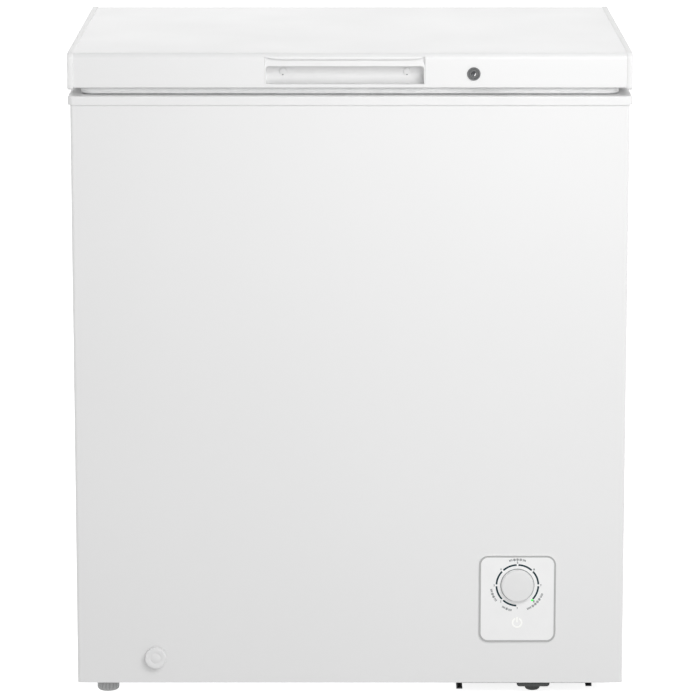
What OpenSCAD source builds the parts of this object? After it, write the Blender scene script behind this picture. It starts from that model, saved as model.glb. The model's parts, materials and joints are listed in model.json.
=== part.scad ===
// Chest freezer: a foamed steel cabinet with a machine bay at its right end, a lifting lid on two sprung
// hinges, a temperature dial, a front drain, a hook lock and one sliding wire basket.
// +X is right, +Y is the back, +Z is up. The origin is on the floor, under the middle of the whole.

/* [Cabinet] */
// Width of the steel cabinet
cabinet_w = 716; // [680:1:860]
// Depth of the steel cabinet
cabinet_d = 530; // [500:1:640]
// Height of the whole freezer with its lid shut
total_h = 850; // [776:1:936]
// Gap between the floor and the bottom edge of the wrap
ground_gap = 17; // [16:0.5:22]
// Thickness of the steel sheets
sheet_t = 0.8; // [0.6:0.1:1]
// Outside radius of the wrap's upright bends
wrap_bend_r = 4; // [3:0.5:6]
// Width of the flange turned in along the bottom of the wrap
wrap_flange = 14; // [10:1:16]
// Thickness of the insulated walls, from the outside to the cavity
wall_t = 60; // [56:1:66]
// Thickness of the inner liner
liner_t = 1; // [0.8:0.1:1.5]
// Inside radius of the liner's upright corners
liner_r = 16; // [14:1:22]

/* [Collar] */
// How far the collar and lid stand out from the cabinet
collar_proud = 3; // [2:0.5:4]
// Height of the collar's outer skirt
collar_h = 11.5; // [9:0.5:16]
// Thickness of the collar's web and inner lip
collar_t = 3; // [2.5:0.5:4]
// Depth of the collar's inner lip, below its top
collar_lip = 16; // [12:1:24]
// Radius of the collar's outer top edge
collar_edge_r = 2; // [1:0.5:2]

/* [Lid] */
// Gap between the collar and the bottom edge of the lid skin
lid_gap = 10.6; // [9:0.1:13]
// Height of the lid skin
lid_h = 44.4; // [42:0.2:54]
// Radius of the bends along the front and back of the lid skin
lid_bend_r = 8; // [6:0.5:10]
// Width of the flange turned in along the bottom of the lid skin
lid_flange = 14; // [12:1:14]
// Thickness of each end cap, along the lid
cap_t = 7.5; // [6:0.5:10]
// How far the end caps stand out from the lid skin
cap_proud = 1; // [0.5:0.1:1.5]
// How far the end caps reach below the lid skin
cap_drop = 2.6; // [1:0.1:4]
// Thickness of the lid's inner pan
pan_t = 1.5; // [1:0.1:2]
// How far the pan's raised centre reaches down into the mouth of the cavity
pan_drop = 15.4; // [12:0.2:18]
// Clearance between the pan's raised centre and the mouth
pan_clear = 12; // [10:0.5:16]
// Width of the gasket
gasket_w = 16; // [12:0.5:18]
// Distance from the lid's edge to the gasket
gasket_inset = 15.5; // [15.5:0.5:18]
// Gap left between the gasket and the collar
gasket_gap = 0.3; // [0.2:0.1:0.5]

/* [Handle] */
// Width of the handle opening in the lid's front
handle_w = 205; // [180:1:240]
// Distance of the handle's middle from the lid's middle, to the left
handle_offset = 6.5; // [0:0.5:20]
// Height of the bottom of the handle opening above the lid's bottom edge
handle_rise = 4.6; // [4:0.1:6]
// Depth of the finger recess
handle_depth = 22; // [20:0.5:24]
// Height of the mouth under the grip
handle_mouth = 23.2; // [21:0.2:24]
// Height of the grip's slanted face
grip_h = 8.8; // [7:0.1:9]
// How far below the lid's top the brow over the grip reaches
brow_drop = 3; // [2.5:0.1:4]
// Wall of the handle moulding
handle_wall = 1.5; // [1.2:0.1:2.5]
// Radius of the finger recess's corners under the grip
handle_corner_r = 4; // [2:0.5:6]
// Width of each end of the brow, over which its lower edge sweeps up
brow_sweep = 26; // [15:1:40]
// Radius of the screw caps in the recess
screw_cap_r = 4.8; // [4:0.1:5]
// Height of the screw caps above the skin's bottom edge
screw_cap_rise = 18.6; // [17:0.2:20]
// Distance between the two screw caps
screw_cap_span = 159; // [140:1:170]

/* [Lock] */
// Distance of the lock from the lid's right end
lock_side = 203; // [150:1:220]
// Height of the lock above the lid's bottom edge
lock_rise = 18; // [16:0.5:19]
// Radius of the lock's bezel
bezel_r = 8.5; // [8:0.1:9.5]
// Radius of the lock barrel
barrel_r = 6; // [5:0.1:6.5]
// Length of the hook, from the lock's axis to its outer edge
hook_reach = 39; // [38.5:0.1:40]
// Thickness of the hook
hook_t = 2; // [1.5:0.1:2.5]

/* [Hinges] */
// Distance of each hinge from the cabinet's side
hinge_side = 123; // [90:1:160]
// Distance of the hinge pins behind the cabinet's back
hinge_back = 13; // [12.5:0.5:15]
// Height of the hinge pins above the collar
hinge_rise = 12; // [11:0.5:14]
// Width of the hinge bracket, across its ears
bracket_w = 54; // [50:1:64]
// Height of the bracket's plate
bracket_h = 88; // [76:1:120]
// Thickness of the hinge plates
plate_t = 2; // [1.5:0.1:2.5]
// Radius of the ears' round ends
ear_r = 9; // [8:0.5:9]
// Radius of the hinge pins
pin_r = 3; // [2.5:0.1:3.5]
// Mean radius of the hinge spring's coil
spring_r = 6.3; // [6:0.1:6.6]
// Radius of the spring wire
spring_wire_r = 1.2; // [0.9:0.1:1.3]
// Turns in each hinge spring
spring_turns = 7; // [5:1:8]

/* [Machine bay] */
// Width of the machine bay, from the cabinet's right side
bay_w = 208; // [204:1:230]
// Height of the machine bay
bay_h = 230; // [222:1:260]
// Thickness of the insulated step over the bay
step_t = 55; // [50:1:65]
// Width of the base plate
base_w = 178; // [174:1:186]
// Thickness of the base plate
base_t = 1.5; // [1.2:0.1:2]
// Height of the base plate's folded runners
runner_h = 9.5; // [7:0.5:10]
// How much shorter the right runner is than the left
runner_step = 3.5; // [0:0.5:4]
// Width of the base plate's folded runners
runner_w = 8; // [6:0.5:10]
// Radius of the compressor shell
shell_r = 70; // [66:1:71]
// Height of the compressor shell
shell_h = 162; // [150:1:170]
// Distance from the cabinet's back to the compressor's axis
shell_back = 132; // [130:1:150]
// Distance between the compressor's mountings, left to right
mount_span_x = 134; // [130:1:136]
// Distance between the compressor's mountings, front to back
mount_span_y = 110; // [104:1:116]

/* [Controls] */
// Distance of the control panel's middle from the cabinet's right side
panel_side = 139; // [118:1:146]
// Height of the control panel's middle above the wrap's bottom edge
panel_z = 114; // [104:1:130]
// Width of the control panel
panel_w = 101; // [96:1:110]
// Height of the control panel
panel_h = 117; // [112:1:124]
// Thickness of the control panel
panel_t = 2; // [1.5:0.1:2.5]
// Radius of the control panel's corners
panel_r = 12.5; // [8:0.5:14]
// Width of the groove just inside the control panel's edge
panel_groove = 1; // [0.6:0.1:1.5]
// Distance from the panel's top edge to the dial's axis
dial_drop = 40; // [38:0.5:44]
// Radius of the dial
dial_r = 21.5; // [19:0.5:23]
// How far the dial stands out from the panel
dial_proud = 7; // [6:0.5:7]
// Radius of the scale printed round the dial, where the small lamp sits
scale_r = 28; // [27:0.5:30]

/* [Drain] */
// Distance of the drain from the cabinet's left side
drain_side = 103; // [88:1:130]
// Height of the front drain above the wrap's bottom edge
drain_z = 35; // [32:0.5:38]
// Radius of the drain's screw cap
drain_cap_r = 14; // [13:0.5:16]
// How far the cap stands out from the cabinet
drain_cap_proud = 9; // [8:0.5:9]
// Radius of the drain's bore
drain_bore_r = 6; // [5:0.5:7]
// Distance from the cabinet's front to the drain in the cavity's floor
drain_inset = 104; // [100:1:130]

/* [Feet] */
// Radius of the knurled levelling feet
foot_r = 14.5; // [12:0.5:17]
// Distance from the cabinet's left side to the levelling feet
foot_inset_x = 38.5; // [34:0.5:60]
// Distance from the cabinet's front and back to the feet
foot_inset_y = 30; // [28:0.5:50]
// Half the width of the fixed feet's pads
pad_r = 21.7; // [18:0.1:24]
// Distance of the fixed feet from the base plate's left edge
pad_inset = 101; // [85:1:110]
// Radius of the levelling feet's screws
stem_r = 4; // [3:0.5:5]

/* [Basket] */
// Width of the basket, left to right
basket_w = 230; // [180:1:260]
// Depth of the basket below its rim wire
basket_h = 200; // [150:1:240]
// Radius of the rim wire
rim_wire_r = 2.5; // [2:0.1:3]
// Radius of the mesh wires
mesh_wire_r = 1.5; // [1.2:0.1:2]
// Spacing of the mesh wires
mesh_pitch = 40; // [30:1:60]

/* [Hidden] */
$fn = 48;

// Small clearances
fit = 0.05;
gap = 0.3;

// The steel wrap takes the height that the gap under it, the collar and the lid leave
wrap_h = total_h - ground_gap - collar_t - lid_gap - lid_h - cap_proud;

// Levels, from the floor up
wrap_top = ground_gap + wrap_h;
collar_top = wrap_top + collar_t;
lid_bottom = collar_top + lid_gap;
skin_top = lid_bottom + lid_h;
floor_panel_top = ground_gap + 2*sheet_t;
cavity_floor = ground_gap + wall_t + 3;
bay_top = ground_gap + bay_h;
step_top = bay_top + step_t;
pan_bottom = lid_bottom + sheet_t;

// Front and back of the cabinet and lid: the dial and the hinges set the whole object's depth
front_proud = panel_t + dial_proud;
back_proud = hinge_back + ear_r;
cab_front = -cabinet_d/2 - (back_proud - front_proud)/2;
cab_back = cab_front + cabinet_d;
cab_mid_y = (cab_front + cab_back)/2;
lid_w = cabinet_w + 2*collar_proud;
lid_d = cabinet_d + 2*collar_proud;
lid_front = cab_front - collar_proud;
lid_back = cab_back + collar_proud;
skin_front = lid_front + cap_proud;
skin_back = lid_back - cap_proud;
skin_w = lid_w - 2*cap_t;

// Places across the width
lock_x = lid_w/2 - lock_side;
hinge_x = cabinet_w/2 - hinge_side;
panel_x = cabinet_w/2 - panel_side;
drain_x = cabinet_w/2 - drain_side;
handle_x = -handle_offset;

// Cavity, its mouth and the machine bay
cavity_w = cabinet_w - 2*wall_t;
cavity_d = cabinet_d - 2*wall_t;
mouth_w = cavity_w - 2*collar_t;
mouth_d = cavity_d - 2*collar_t;
inner_x = cabinet_w/2 - sheet_t;
liner_flange = 20;
bay_x0 = cabinet_w/2 - bay_w;
step_x = bay_x0 - step_t;
bay_back = cab_back - sheet_t;

// Hinge pins
hinge_y = cab_back + hinge_back;
hinge_z = collar_top + hinge_rise;
bracket_top = collar_top - collar_h - 3;
arm_w = bracket_w - 2*plate_t - 2;
arm_foot = 6;
arm_top = hinge_z + 34;
spring_root = 34;
spring_bend = 24;
spring_tip = 28;
spring_rise = 8;

// Dial, drain and lock axes
dial_z = ground_gap + panel_z + panel_h/2 - dial_drop;
lamp_z = dial_z - 50.5;
panel_front = cab_front - panel_t;
drain_level = ground_gap + drain_z;
drain_y = cab_front + drain_inset;
lock_z = lid_bottom + lock_rise;
hook_y = lid_front + 8;
slot_y0 = hook_y - 1.5;
slot_y1 = hook_y + hook_t + 1.5;
strike_t = 1.5;
toe_r = hook_reach - 4;
toe_angle = 15;
hook_w = 8;
hook_eye_r = 7;

// Controls
panel_lip = 0.4;
face_in = panel_lip + panel_groove;
bush_out_r = 5;
shaft_r = 3;
lamp_r = 7;
led_r = 1.5;
led_x = panel_x + scale_r*sin(136);
led_z = dial_z + scale_r*cos(136);
housing_depth = 56;

// Drain
elbow_r = 9.5;
spigot_r = drain_bore_r + 3.3;

// Compressor
plate_margin = 11;
shell_x = bay_x0 + sheet_t + 3.2 + plate_margin + mount_span_x/2;
shell_y = cab_back - shell_back;
leg_z = ground_gap + 14;
leg_t = 2.5;
shell_z = leg_z + leg_t;
stub_r = 5;
stub_out = 12;
tube_r = 3.2;
suction_r = 4;
tube_reach = 26;
tube_jog_x = 8;
tube_jog_y = 30;
tube_turn = 50;
suction_reach = 40;
suction_jog = 40;
suction_turn = 40;
process_h = 46;
stub_z = shell_z + 62;
stub_angles = [-120, -90, -60];
stud_r = 3;
grommet_r = 6;
grommet_flange_r = 10;
relay_w = 52;
relay_h = 24;
relay_out = 30;
relay_in = 22;
relay_up = 42;
relay_wall = 2;
drier_x = shell_x + 62;
drier_ahead = 190;
drier_y = shell_y - drier_ahead;
drier_rise = 78;
drier_z = ground_gap + drier_rise;
drier_r = 9;
drier_foot_r = 2.2;
drier_h = 92;
drier_neck = 20;
capillary_r = 1.4;
capillary_coil_r = 16;
capillary_drop = 16;
capillary_rise = 20;

// Base plate
base_x0 = bay_x0 - 10;
pad_x = base_x0 + pad_inset;
base_front = cab_front + 4;
base_back = cab_back;
base_z = ground_gap - base_t;
pad_t = 5;
pad_round = 4;

// Feet
foot_y = [cab_front + foot_inset_y, cab_back - foot_inset_y];
foot_x = -cabinet_w/2 + foot_inset_x;
cup_top = ground_gap - 2;
stem_bottom = 6;
stem_h = 44;
nut_h = 10;
nut_r = 10;

// Coils in the foam
coil_r = 4;
coil_groove = 2*coil_r + 2*gap;
coil_pitch = 56;
coil_turns = floor((wrap_top - step_top - 90)/coil_pitch);
coil_z0 = step_top + 40;
coil_w = cavity_w + 2*(liner_t + gap + coil_r);
coil_d = cavity_d + 2*(liner_t + gap + coil_r);
coil_bend = 9.5;
coil_corner = coil_bend*cos(22.5) - coil_r - gap;
coil_rise_x = 60;
cond_w = 2*(inner_x - gap/2 - coil_r);
cond_d = cabinet_d - 2*(sheet_t + gap/2 + coil_r);
cond_end_y = cab_back - 50;

// Basket
hanger_t = 3;
hanger_len = 120;
hanger_gap = 1;
rim_y = mouth_d/2 - hanger_gap - hanger_t - rim_wire_r - fit;
rim_z = collar_top - 20;
rim_corner = 22;
basket_x = -mouth_w/2 + basket_w/2 + 3;
mesh_weld = 0.4;
side_pitch = 50;
hanger_lip = 13;

// Machine bay openings
vent_w = 160;
vent_h = 110;
vent_y = 60;
vent_rise = 43;
vent_z = ground_gap + vent_rise + vent_h/2;
cover_x0 = bay_x0 + 6;
cover_x1 = cabinet_w/2 - 14;
cover_z0 = ground_gap + 16;
cover_z1 = bay_top - 10;
cover_lap = 9;
cover_slot_w = 66;
cover_slot_h = 6;
cover_slot_pitch = 16;
cover_slot_rise = 50;
bush_r = 4;
bush_x = cover_x0 + 26;
bush_z = cover_z0 + 34;
cover_t = 1.5;
cover_screw_r = 1.6;
bracket_screw_r = 2;
grille_t = 2;

// ---------------------------------------------------------------- shapes used more than once

function unit(v) = v/norm(v);

// Points on an arc about c, from angle a to angle b
function arc(c, r, a, b, n = 8) = [for (i = [0:n]) c + r*[cos(a + (b - a)*i/n), sin(a + (b - a)*i/n)]];

// A corner at b between a and c, rounded to the bend radius r
function round_corner(a, b, c, r, n) =
    let (u = unit(a - b), v = unit(c - b), half = acos(u*v)/2, t = r/tan(half),
         m = b + unit(u + v)*r/sin(half), p = b + u*t - m, q = b + v*t - m, turn = 180 - 2*half)
    [for (i = [0:n]) m + (sin((1 - i/n)*turn)*p + sin(i/n*turn)*q)/sin(turn)];

// A path through points whose corners are rounded
function rounded_path(pts, r, n = 5) = concat(
    [pts[0]],
    [for (i = [1:len(pts) - 2]) each round_corner(pts[i - 1], pts[i], pts[i + 1], r, n)],
    [pts[len(pts) - 1]]);

function path_tangents(p) = [for (i = [0:len(p) - 1])
    unit(i == 0 ? p[1] - p[0] : i == len(p) - 1 ? p[i] - p[i - 1]
        : unit(p[i + 1] - p[i]) + unit(p[i] - p[i - 1]))];

// One side vector per point, each the last one turned square to the path
function path_sides(t, first) = [for (i = 0, s = unit(first - (first*t[0])*t[0]); i < len(t);
    i = i + 1, s = i < len(t) ? unit(s - (s*t[i])*t[i]) : s) s];

// A round bar swept along a path
module swept_bar(path, r, sides = 8, first = [0.3, 0.5, 0.8]) {
    t = path_tangents(path);
    s = path_sides(t, first);
    rings = len(path);
    points = [for (i = [0:rings - 1], j = [0:sides - 1])
        path[i] + r*(cos(360*j/sides)*s[i] + sin(360*j/sides)*cross(t[i], s[i]))];
    walls = [for (i = [0:rings - 2], j = [0:sides - 1])
        let (k = (j + 1) % sides) [i*sides + j, (i + 1)*sides + j, (i + 1)*sides + k, i*sides + k]];
    polyhedron(points, concat([[for (j = [0:sides - 1]) j]],
        [[for (j = [0:sides - 1]) (rings - 1)*sides + sides - 1 - j]], walls));
}

// A rectangle with round corners
module round_rect(w, d, r) {
    square([w - 2*r, d], center = true);
    square([w, d - 2*r], center = true);
    for (x = [-1, 1], y = [-1, 1])
        translate([x*(w/2 - r), y*(d/2 - r)]) circle(r = r);
}

// A block with round upright edges, standing on z0
module round_block(w, d, r, z0, z1) {
    translate([0, 0, z0]) linear_extrude(z1 - z0) round_rect(w, d, r);
}

// A block between two corners
module block(a, b) {
    translate(a) cube(b - a);
}

// Plan of the steel wrap, set in from its outside: round at the front, square at the back
module wrap_plan(inset) {
    round_rect(cabinet_w - 2*inset, cabinet_d - 2*inset, wrap_bend_r - inset);
    translate([-cabinet_w/2 + inset, 0]) square([cabinet_w - 2*inset, cabinet_d/2 - inset]);
}

// A 2D profile (x outwards, y up) carried round a rectangle w by d with corners of radius r
module round_frame(w, d, r) {
    for (side = [0:3]) {
        run = (side % 2 == 0 ? w : d) - 2*r;
        across = side % 2 == 0 ? d : w;
        rotate(90*side) {
            translate([-run/2, -across/2, 0]) rotate([90, 0, 90])
                linear_extrude(run) mirror([1, 0]) children();
            translate([run/2, -across/2 + r, 0]) rotate(-90)
                rotate_extrude(angle = 90) translate([r, 0]) children();
        }
    }
}

// A bar along Y from y0 to y1 at (x, z)
module bar_y(x, z, y0, y1, r) {
    translate([x, y1, z]) rotate([90, 0, 0]) cylinder(r = r, h = y1 - y0);
}

// A bar along X from x0 to x1 at (y, z)
module bar_x(y, z, x0, x1, r) {
    translate([x0, y, z]) rotate([0, 90, 0]) cylinder(r = r, h = x1 - x0);
}

// ---------------------------------------------------------------- cabinet

module cavity(grow = 0, top = wrap_top) {
    translate([0, cab_mid_y, 0]) round_block(cavity_w + 2*grow, cavity_d + 2*grow, liner_r + grow,
        step_top - grow, top);
    half = (step_x + cavity_w/2)/2;
    translate([step_x - half, cab_mid_y, 0]) round_block(2*half + 2*grow, cavity_d + 2*grow, liner_r + grow,
        cavity_floor - grow, step_top + liner_r);
}

module outer_wrap() {
    color("white") difference() {
        translate([0, cab_mid_y, ground_gap]) {
            linear_extrude(wrap_h) difference() {
                wrap_plan(0);
                wrap_plan(sheet_t);
                translate([0, cabinet_d/2]) square([2*inner_x, 6], center = true);
            }
            linear_extrude(sheet_t) difference() {
                wrap_plan(sheet_t/2);
                translate([-inner_x + wrap_flange, wrap_flange - cabinet_d/2])
                    square([2*(inner_x - wrap_flange), cabinet_d]);
                translate([-cabinet_w/2, cabinet_d/2 - sheet_t]) square([cabinet_w, 2]);
            }
        }
        translate([panel_x, cab_front + 5, ground_gap + panel_z]) rotate([90, 0, 0])
            linear_extrude(10) round_rect(panel_w - 20, panel_h - 20, 5);
        bar_y(-drain_x, drain_level, cab_front - 5, cab_front + 5, drain_bore_r + 4 + fit);
        block([inner_x - 5, vent_y - vent_w/2, vent_z - vent_h/2],
              [cabinet_w/2 + 5, vent_y + vent_w/2, vent_z + vent_h/2]);
    }
}

module back_panel() {
    color("gainsboro") difference() {
        block([-inner_x, bay_back, ground_gap], [inner_x, cab_back, wrap_top]);
        block([cover_x0 + cover_lap, bay_back - 1, cover_z0 + cover_lap],
              [cover_x1 - cover_lap, cab_back + 1, cover_z1 - cover_lap]);
        at_cover_screws() cylinder(r = cover_screw_r + fit, h = 20, center = true);
        at_bracket_screws() cylinder(r = bracket_screw_r + fit, h = 20, center = true);
    }
}

module bottom_panel() {
    color("silver") difference() {
        translate([0, cab_mid_y, ground_gap + sheet_t]) linear_extrude(sheet_t) difference() {
            wrap_plan(sheet_t);
            translate([bay_x0 + sheet_t, -cabinet_d/2]) square([cabinet_w, cabinet_d]);
        }
        for (y = foot_y)
            translate([foot_x, y, 0]) cylinder(r = stem_r + 2, h = 50);
    }
}

// The liner is a wrapped wall sheet, which stands on a pressed sheet that forms the floor and the step
module liner_shell() {
    difference() {
        union() {
            cavity(liner_t, wrap_top);
            translate([0, cab_mid_y, 0])
                round_block(cavity_w + 2*liner_flange, cavity_d + 2*liner_flange, liner_r + liner_flange,
                    wrap_top - liner_t, wrap_top);
        }
        cavity(0, wrap_top + 1);
        translate([-drain_x, drain_y, cavity_floor - 5]) cylinder(r = drain_bore_r, h = 10);
    }
}

module liner_floor_zone(grow) {
    block([-cabinet_w/2, cab_front, 0], [step_x, cab_back, cavity_floor + grow]);
    block([step_x - liner_r - grow, cab_front, 0], [cabinet_w/2, cab_back, step_top + grow]);
}

module liner_walls() {
    color("silver") difference() {
        liner_shell();
        liner_floor_zone(fit);
    }
}

module liner_floor() {
    color("silver") intersection() {
        liner_shell();
        liner_floor_zone(0);
    }
}

module cabinet_foam() {
    color("khaki") difference() {
        translate([0, cab_mid_y, floor_panel_top])
            linear_extrude(wrap_top - liner_t - gap - floor_panel_top) wrap_plan(sheet_t + gap);
        cavity(liner_t + gap, wrap_top + 1);
        block([bay_x0 - gap, cab_front - 1, 0], [cabinet_w, cab_back + 1, bay_top + gap]);
        for (i = [0:coil_turns - 1])
            translate([0, cab_mid_y, coil_z0 + i*coil_pitch - coil_groove/2])
                linear_extrude(coil_groove)
                    round_rect(coil_w + coil_groove, coil_d + coil_groove, coil_bend);
        block([coil_rise_x - coil_groove - 1, 0, coil_z0 - coil_groove/2],
              [coil_rise_x + 41 + coil_groove, cab_mid_y + coil_d/2 + coil_groove/2,
               coil_z0 + (coil_turns - 1)*coil_pitch + coil_groove/2]);
        for (i = [0:coil_turns - 1])
            translate([0, cab_mid_y, coil_z0 + (i + 0.5)*coil_pitch - coil_groove/2])
                linear_extrude(coil_groove) difference() {
                    square([cabinet_w, cabinet_d], center = true);
                    translate([0, cabinet_d - cond_d/2 + coil_groove/2])
                        round_rect(cond_w - coil_groove, 2*cabinet_d, coil_corner);
                }
        for (side = [-1, 1])
            block([side > 0 ? cond_w/2 - coil_groove/2 : -cabinet_w/2,
                   cond_end_y - coil_groove, coil_z0 + coil_pitch/2 - coil_groove/2],
                  [side > 0 ? cabinet_w/2 : coil_groove/2 - cond_w/2, cond_end_y + coil_groove,
                   coil_z0 + (coil_turns - 0.5)*coil_pitch + coil_groove/2]);
        for (y = foot_y)
            translate([foot_x, y, 0]) cylinder(r = nut_r + gap, h = floor_panel_top + stem_h + 6);
        translate([-drain_x, drain_y, drain_level - elbow_r - gap])
            cylinder(r = elbow_r + gap, h = cavity_floor - drain_level + elbow_r);
        block([-drain_x - elbow_r, cab_front - 1, drain_level - elbow_r],
              [-drain_x + elbow_r, drain_y, drain_level + elbow_r]);
        bar_y(-drain_x, drain_level, cab_front - 1, cab_front + 24, 17);
        block([lock_x - 24, cab_front, collar_top - 15], [lock_x + 38, lid_front + 24, wrap_top + 1]);
    }
}

module top_collar() {
    top = collar_top - collar_edge_r;
    skirt_bottom = collar_top - collar_h;
    color("whitesmoke") difference() {
        translate([0, cab_mid_y, 0]) {
            round_frame(lid_w, lid_d, wrap_bend_r + collar_proud) {
                translate([-collar_proud, skirt_bottom]) square([collar_proud, top - skirt_bottom]);
                translate([-6, wrap_top]) square([6 - collar_edge_r, collar_t]);
                translate([-collar_edge_r, top]) circle(r = collar_edge_r);
            }
            translate([0, 0, wrap_top]) linear_extrude(collar_t) difference() {
                round_rect(lid_w - 8, lid_d - 8, wrap_bend_r - 1);
                round_rect(mouth_w, mouth_d, liner_r - collar_t);
            }
            translate([0, 0, collar_top - collar_lip]) linear_extrude(collar_lip) difference() {
                round_rect(cavity_w - 2*fit, cavity_d - 2*fit, liner_r - fit);
                round_rect(mouth_w, mouth_d, liner_r - collar_t);
            }
        }
        translate([0, cab_mid_y, 0]) linear_extrude(wrap_top) difference() {
            wrap_plan(0);
            round_rect(cavity_w, cavity_d, liner_r);
        }
        block([lock_x - 5, slot_y0, wrap_top - 1], [lock_x + 29, slot_y1, collar_top + 1]);
    }
}

// A pipe carried round a rectangle in level turns, with a short rise at the back between turns
function coil_turn(i, w, d, x, z, pitch, last) = concat(
    [[x, d/2, z], [-w/2, d/2, z], [-w/2, -d/2, z], [w/2, -d/2, z], [w/2, d/2, z], [x + 40, d/2, z]],
    last ? [] : [[x + 40, d/2, z + pitch*0.5], [x, d/2, z + pitch*0.5]]);

module evaporator_coil() {
    path = [for (i = [0:coil_turns - 1]) each coil_turn(i, coil_w, coil_d, coil_rise_x,
        coil_z0 + i*coil_pitch, coil_pitch, i == coil_turns - 1)];
    color("silver") translate([0, cab_mid_y, 0])
        swept_bar(rounded_path(path, coil_bend, 2), coil_r, 6, [0, 0, 1]);
}

// A pipe carried back and forth round the left, front and right walls
module condenser_coil() {
    end = cond_end_y - cab_mid_y;
    path = [for (i = [0:coil_turns - 1])
        let (s = i % 2 == 0 ? 1 : -1, z = coil_z0 + (i + 0.5)*coil_pitch)
        each [[-s*cond_w/2, end, z], [-s*cond_w/2, -cond_d/2, z],
              [s*cond_w/2, -cond_d/2, z], [s*cond_w/2, end, z]]];
    color("peru") translate([0, cab_mid_y, 0])
        swept_bar(rounded_path(path, coil_bend, 2), coil_r, 6, [0, 0, 1]);
}

// ---------------------------------------------------------------- machine bay

module bay_partition() {
    color("gainsboro") {
        block([bay_x0, cab_front + sheet_t, floor_panel_top], [bay_x0 + sheet_t, bay_back, bay_top]);
        translate([0, cab_mid_y, bay_top - sheet_t]) linear_extrude(sheet_t) difference() {
            wrap_plan(sheet_t);
            translate([-cabinet_w, -cabinet_d/2]) square([cabinet_w + bay_x0 + sheet_t/2, cabinet_d]);
        }
    }
}

module base_plate() {
    x1 = base_x0 + base_w;
    color("dimgray") difference() {
        union() {
            block([base_x0, base_front, base_z], [x1, base_back, ground_gap]);
            base_runner(base_x0, 1, runner_h);
            base_runner(x1, -1, runner_h - runner_step);
        }
        at_mounts() cylinder(r = stud_r + 0.2, h = 60, center = true);
        for (y = foot_y)
            translate([pad_x, y, 0]) cylinder(r = 4 + fit, h = 60, center = true);
    }
}

// A runner folded down to the depth h at the plate's edge x, its foot turned inwards
module base_runner(x, side, h) {
    for (across = [[base_t, base_z + base_t/2], [runner_w, ground_gap - h + base_t]])
        block([min(x, x + side*across[0]), base_front, ground_gap - h],
              [max(x, x + side*across[0]), base_back, across[1]]);
}

module fixed_feet() {
    reach = foot_y[0] - base_front;
    color("dimgray") for (y = foot_y) translate([pad_x, y, 0]) {
        rotate([90, 0, 0]) linear_extrude(2*reach, center = true)
            polygon(concat([[-pad_r, base_z]],
                arc([-pad_r + pad_round, base_z - pad_t + pad_round], pad_round, 180, 270, 6),
                arc([pad_r - pad_round, base_z - pad_t + pad_round], pad_round, 270, 360, 6),
                [[pad_r, base_z]]));
        rotate_extrude() {
            square([6, 2]);
            translate([0, 4]) square([10, base_z - 4]);
            translate([6, 4]) circle(r = 4);
            square([4, ground_gap + 3]);
            translate([0, ground_gap + 0.1]) square([5.5, 2]);
        }
    }
}

module rear_cover() {
    slots = floor((cover_z1 - cover_z0 - 84)/cover_slot_pitch);
    color("lightgray") difference() {
        block([cover_x0, cab_back, cover_z0], [cover_x1, cab_back + cover_t, cover_z1]);
        for (i = [0:slots - 1], x = [cover_x0 + 24, (cover_x0 + cover_x1)/2 + 4])
            let (z = cover_z0 + cover_slot_rise + cover_slot_pitch*i)
                block([x, cab_back - 1, z], [x + cover_slot_w, cab_back + 5, z + cover_slot_h]);
        bar_y(bush_x, bush_z, cab_back - 5, cab_back + 5, bush_r + 2 + fit);
        at_cover_screws() cylinder(r = cover_screw_r + fit, h = 20, center = true);
    }
}

module at_cover_screws() {
    for (x = [cover_x0 + 5, cover_x1 - 5], z = [cover_z0 + 5, cover_z1 - 5])
        translate([x, cab_back, z]) rotate([90, 0, 0]) children();
}

module rear_cover_screws() {
    color("silver") at_cover_screws() {
        translate([0, 0, -cover_t - 2]) cylinder(r = 3.6, h = 2);
        translate([0, 0, -cover_t - 1]) cylinder(r = cover_screw_r, h = cover_t + 1 + sheet_t);
    }
}

module cord_bush() {
    color("black") difference() {
        union() {
            bar_y(bush_x, bush_z, cab_back - 4, cab_back + 8, bush_r + 2);
            bar_y(bush_x, bush_z, cab_back + cover_t, cab_back + cover_t + 3, bush_r + 5);
            bar_y(bush_x, bush_z, cab_back - 3, cab_back, bush_r + 3.2);
        }
        bar_y(bush_x, bush_z, cab_back - 5, cab_back + 9, bush_r);
    }
}

module side_grille() {
    face = cabinet_w/2;
    w = vent_w - 2*gap;
    h = vent_h - 2*gap;
    slots = floor((vent_h - 12)/12);
    color("lightgray") difference() {
        union() {
            block([face, vent_y - vent_w/2 - 8, vent_z - vent_h/2 - 8],
                  [face + grille_t, vent_y + vent_w/2 + 8, vent_z + vent_h/2 + 8]);
            block([face - 6, vent_y - w/2, vent_z - h/2], [face + grille_t/2, vent_y + w/2, vent_z + h/2]);
        }
        block([face - 7, vent_y - w/2 + 2, vent_z - h/2 + 2], [face, vent_y + w/2 - 2, vent_z + h/2 - 2]);
        for (i = [0:slots - 1], y = [vent_y - vent_w/2 + 6, vent_y + 3])
            block([face - 1, y, vent_z - vent_h/2 + 8 + 12*i],
                  [face + 9, y + vent_w/2 - 9, vent_z - vent_h/2 + 14 + 12*i]);
    }
}

module compressor_shell() {
    shoulder = 30;
    color("black") translate([shell_x, shell_y, shell_z]) {
        rotate_extrude() {
            square([shell_r - shoulder, shell_h]);
            translate([0, shoulder]) square([shell_r, shell_h - 2*shoulder]);
            for (z = [shoulder, shell_h - shoulder])
                translate([shell_r - shoulder, z]) circle(r = shoulder);
            translate([0, shell_h*0.45]) square([shell_r + 3, 5]);
        }
        for (a = stub_angles)
            rotate(a) translate([shell_r - 2, 0, stub_z - shell_z]) rotate([0, 90, 0])
                cylinder(r = stub_r, h = stub_out + 2);
    }
}

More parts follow.
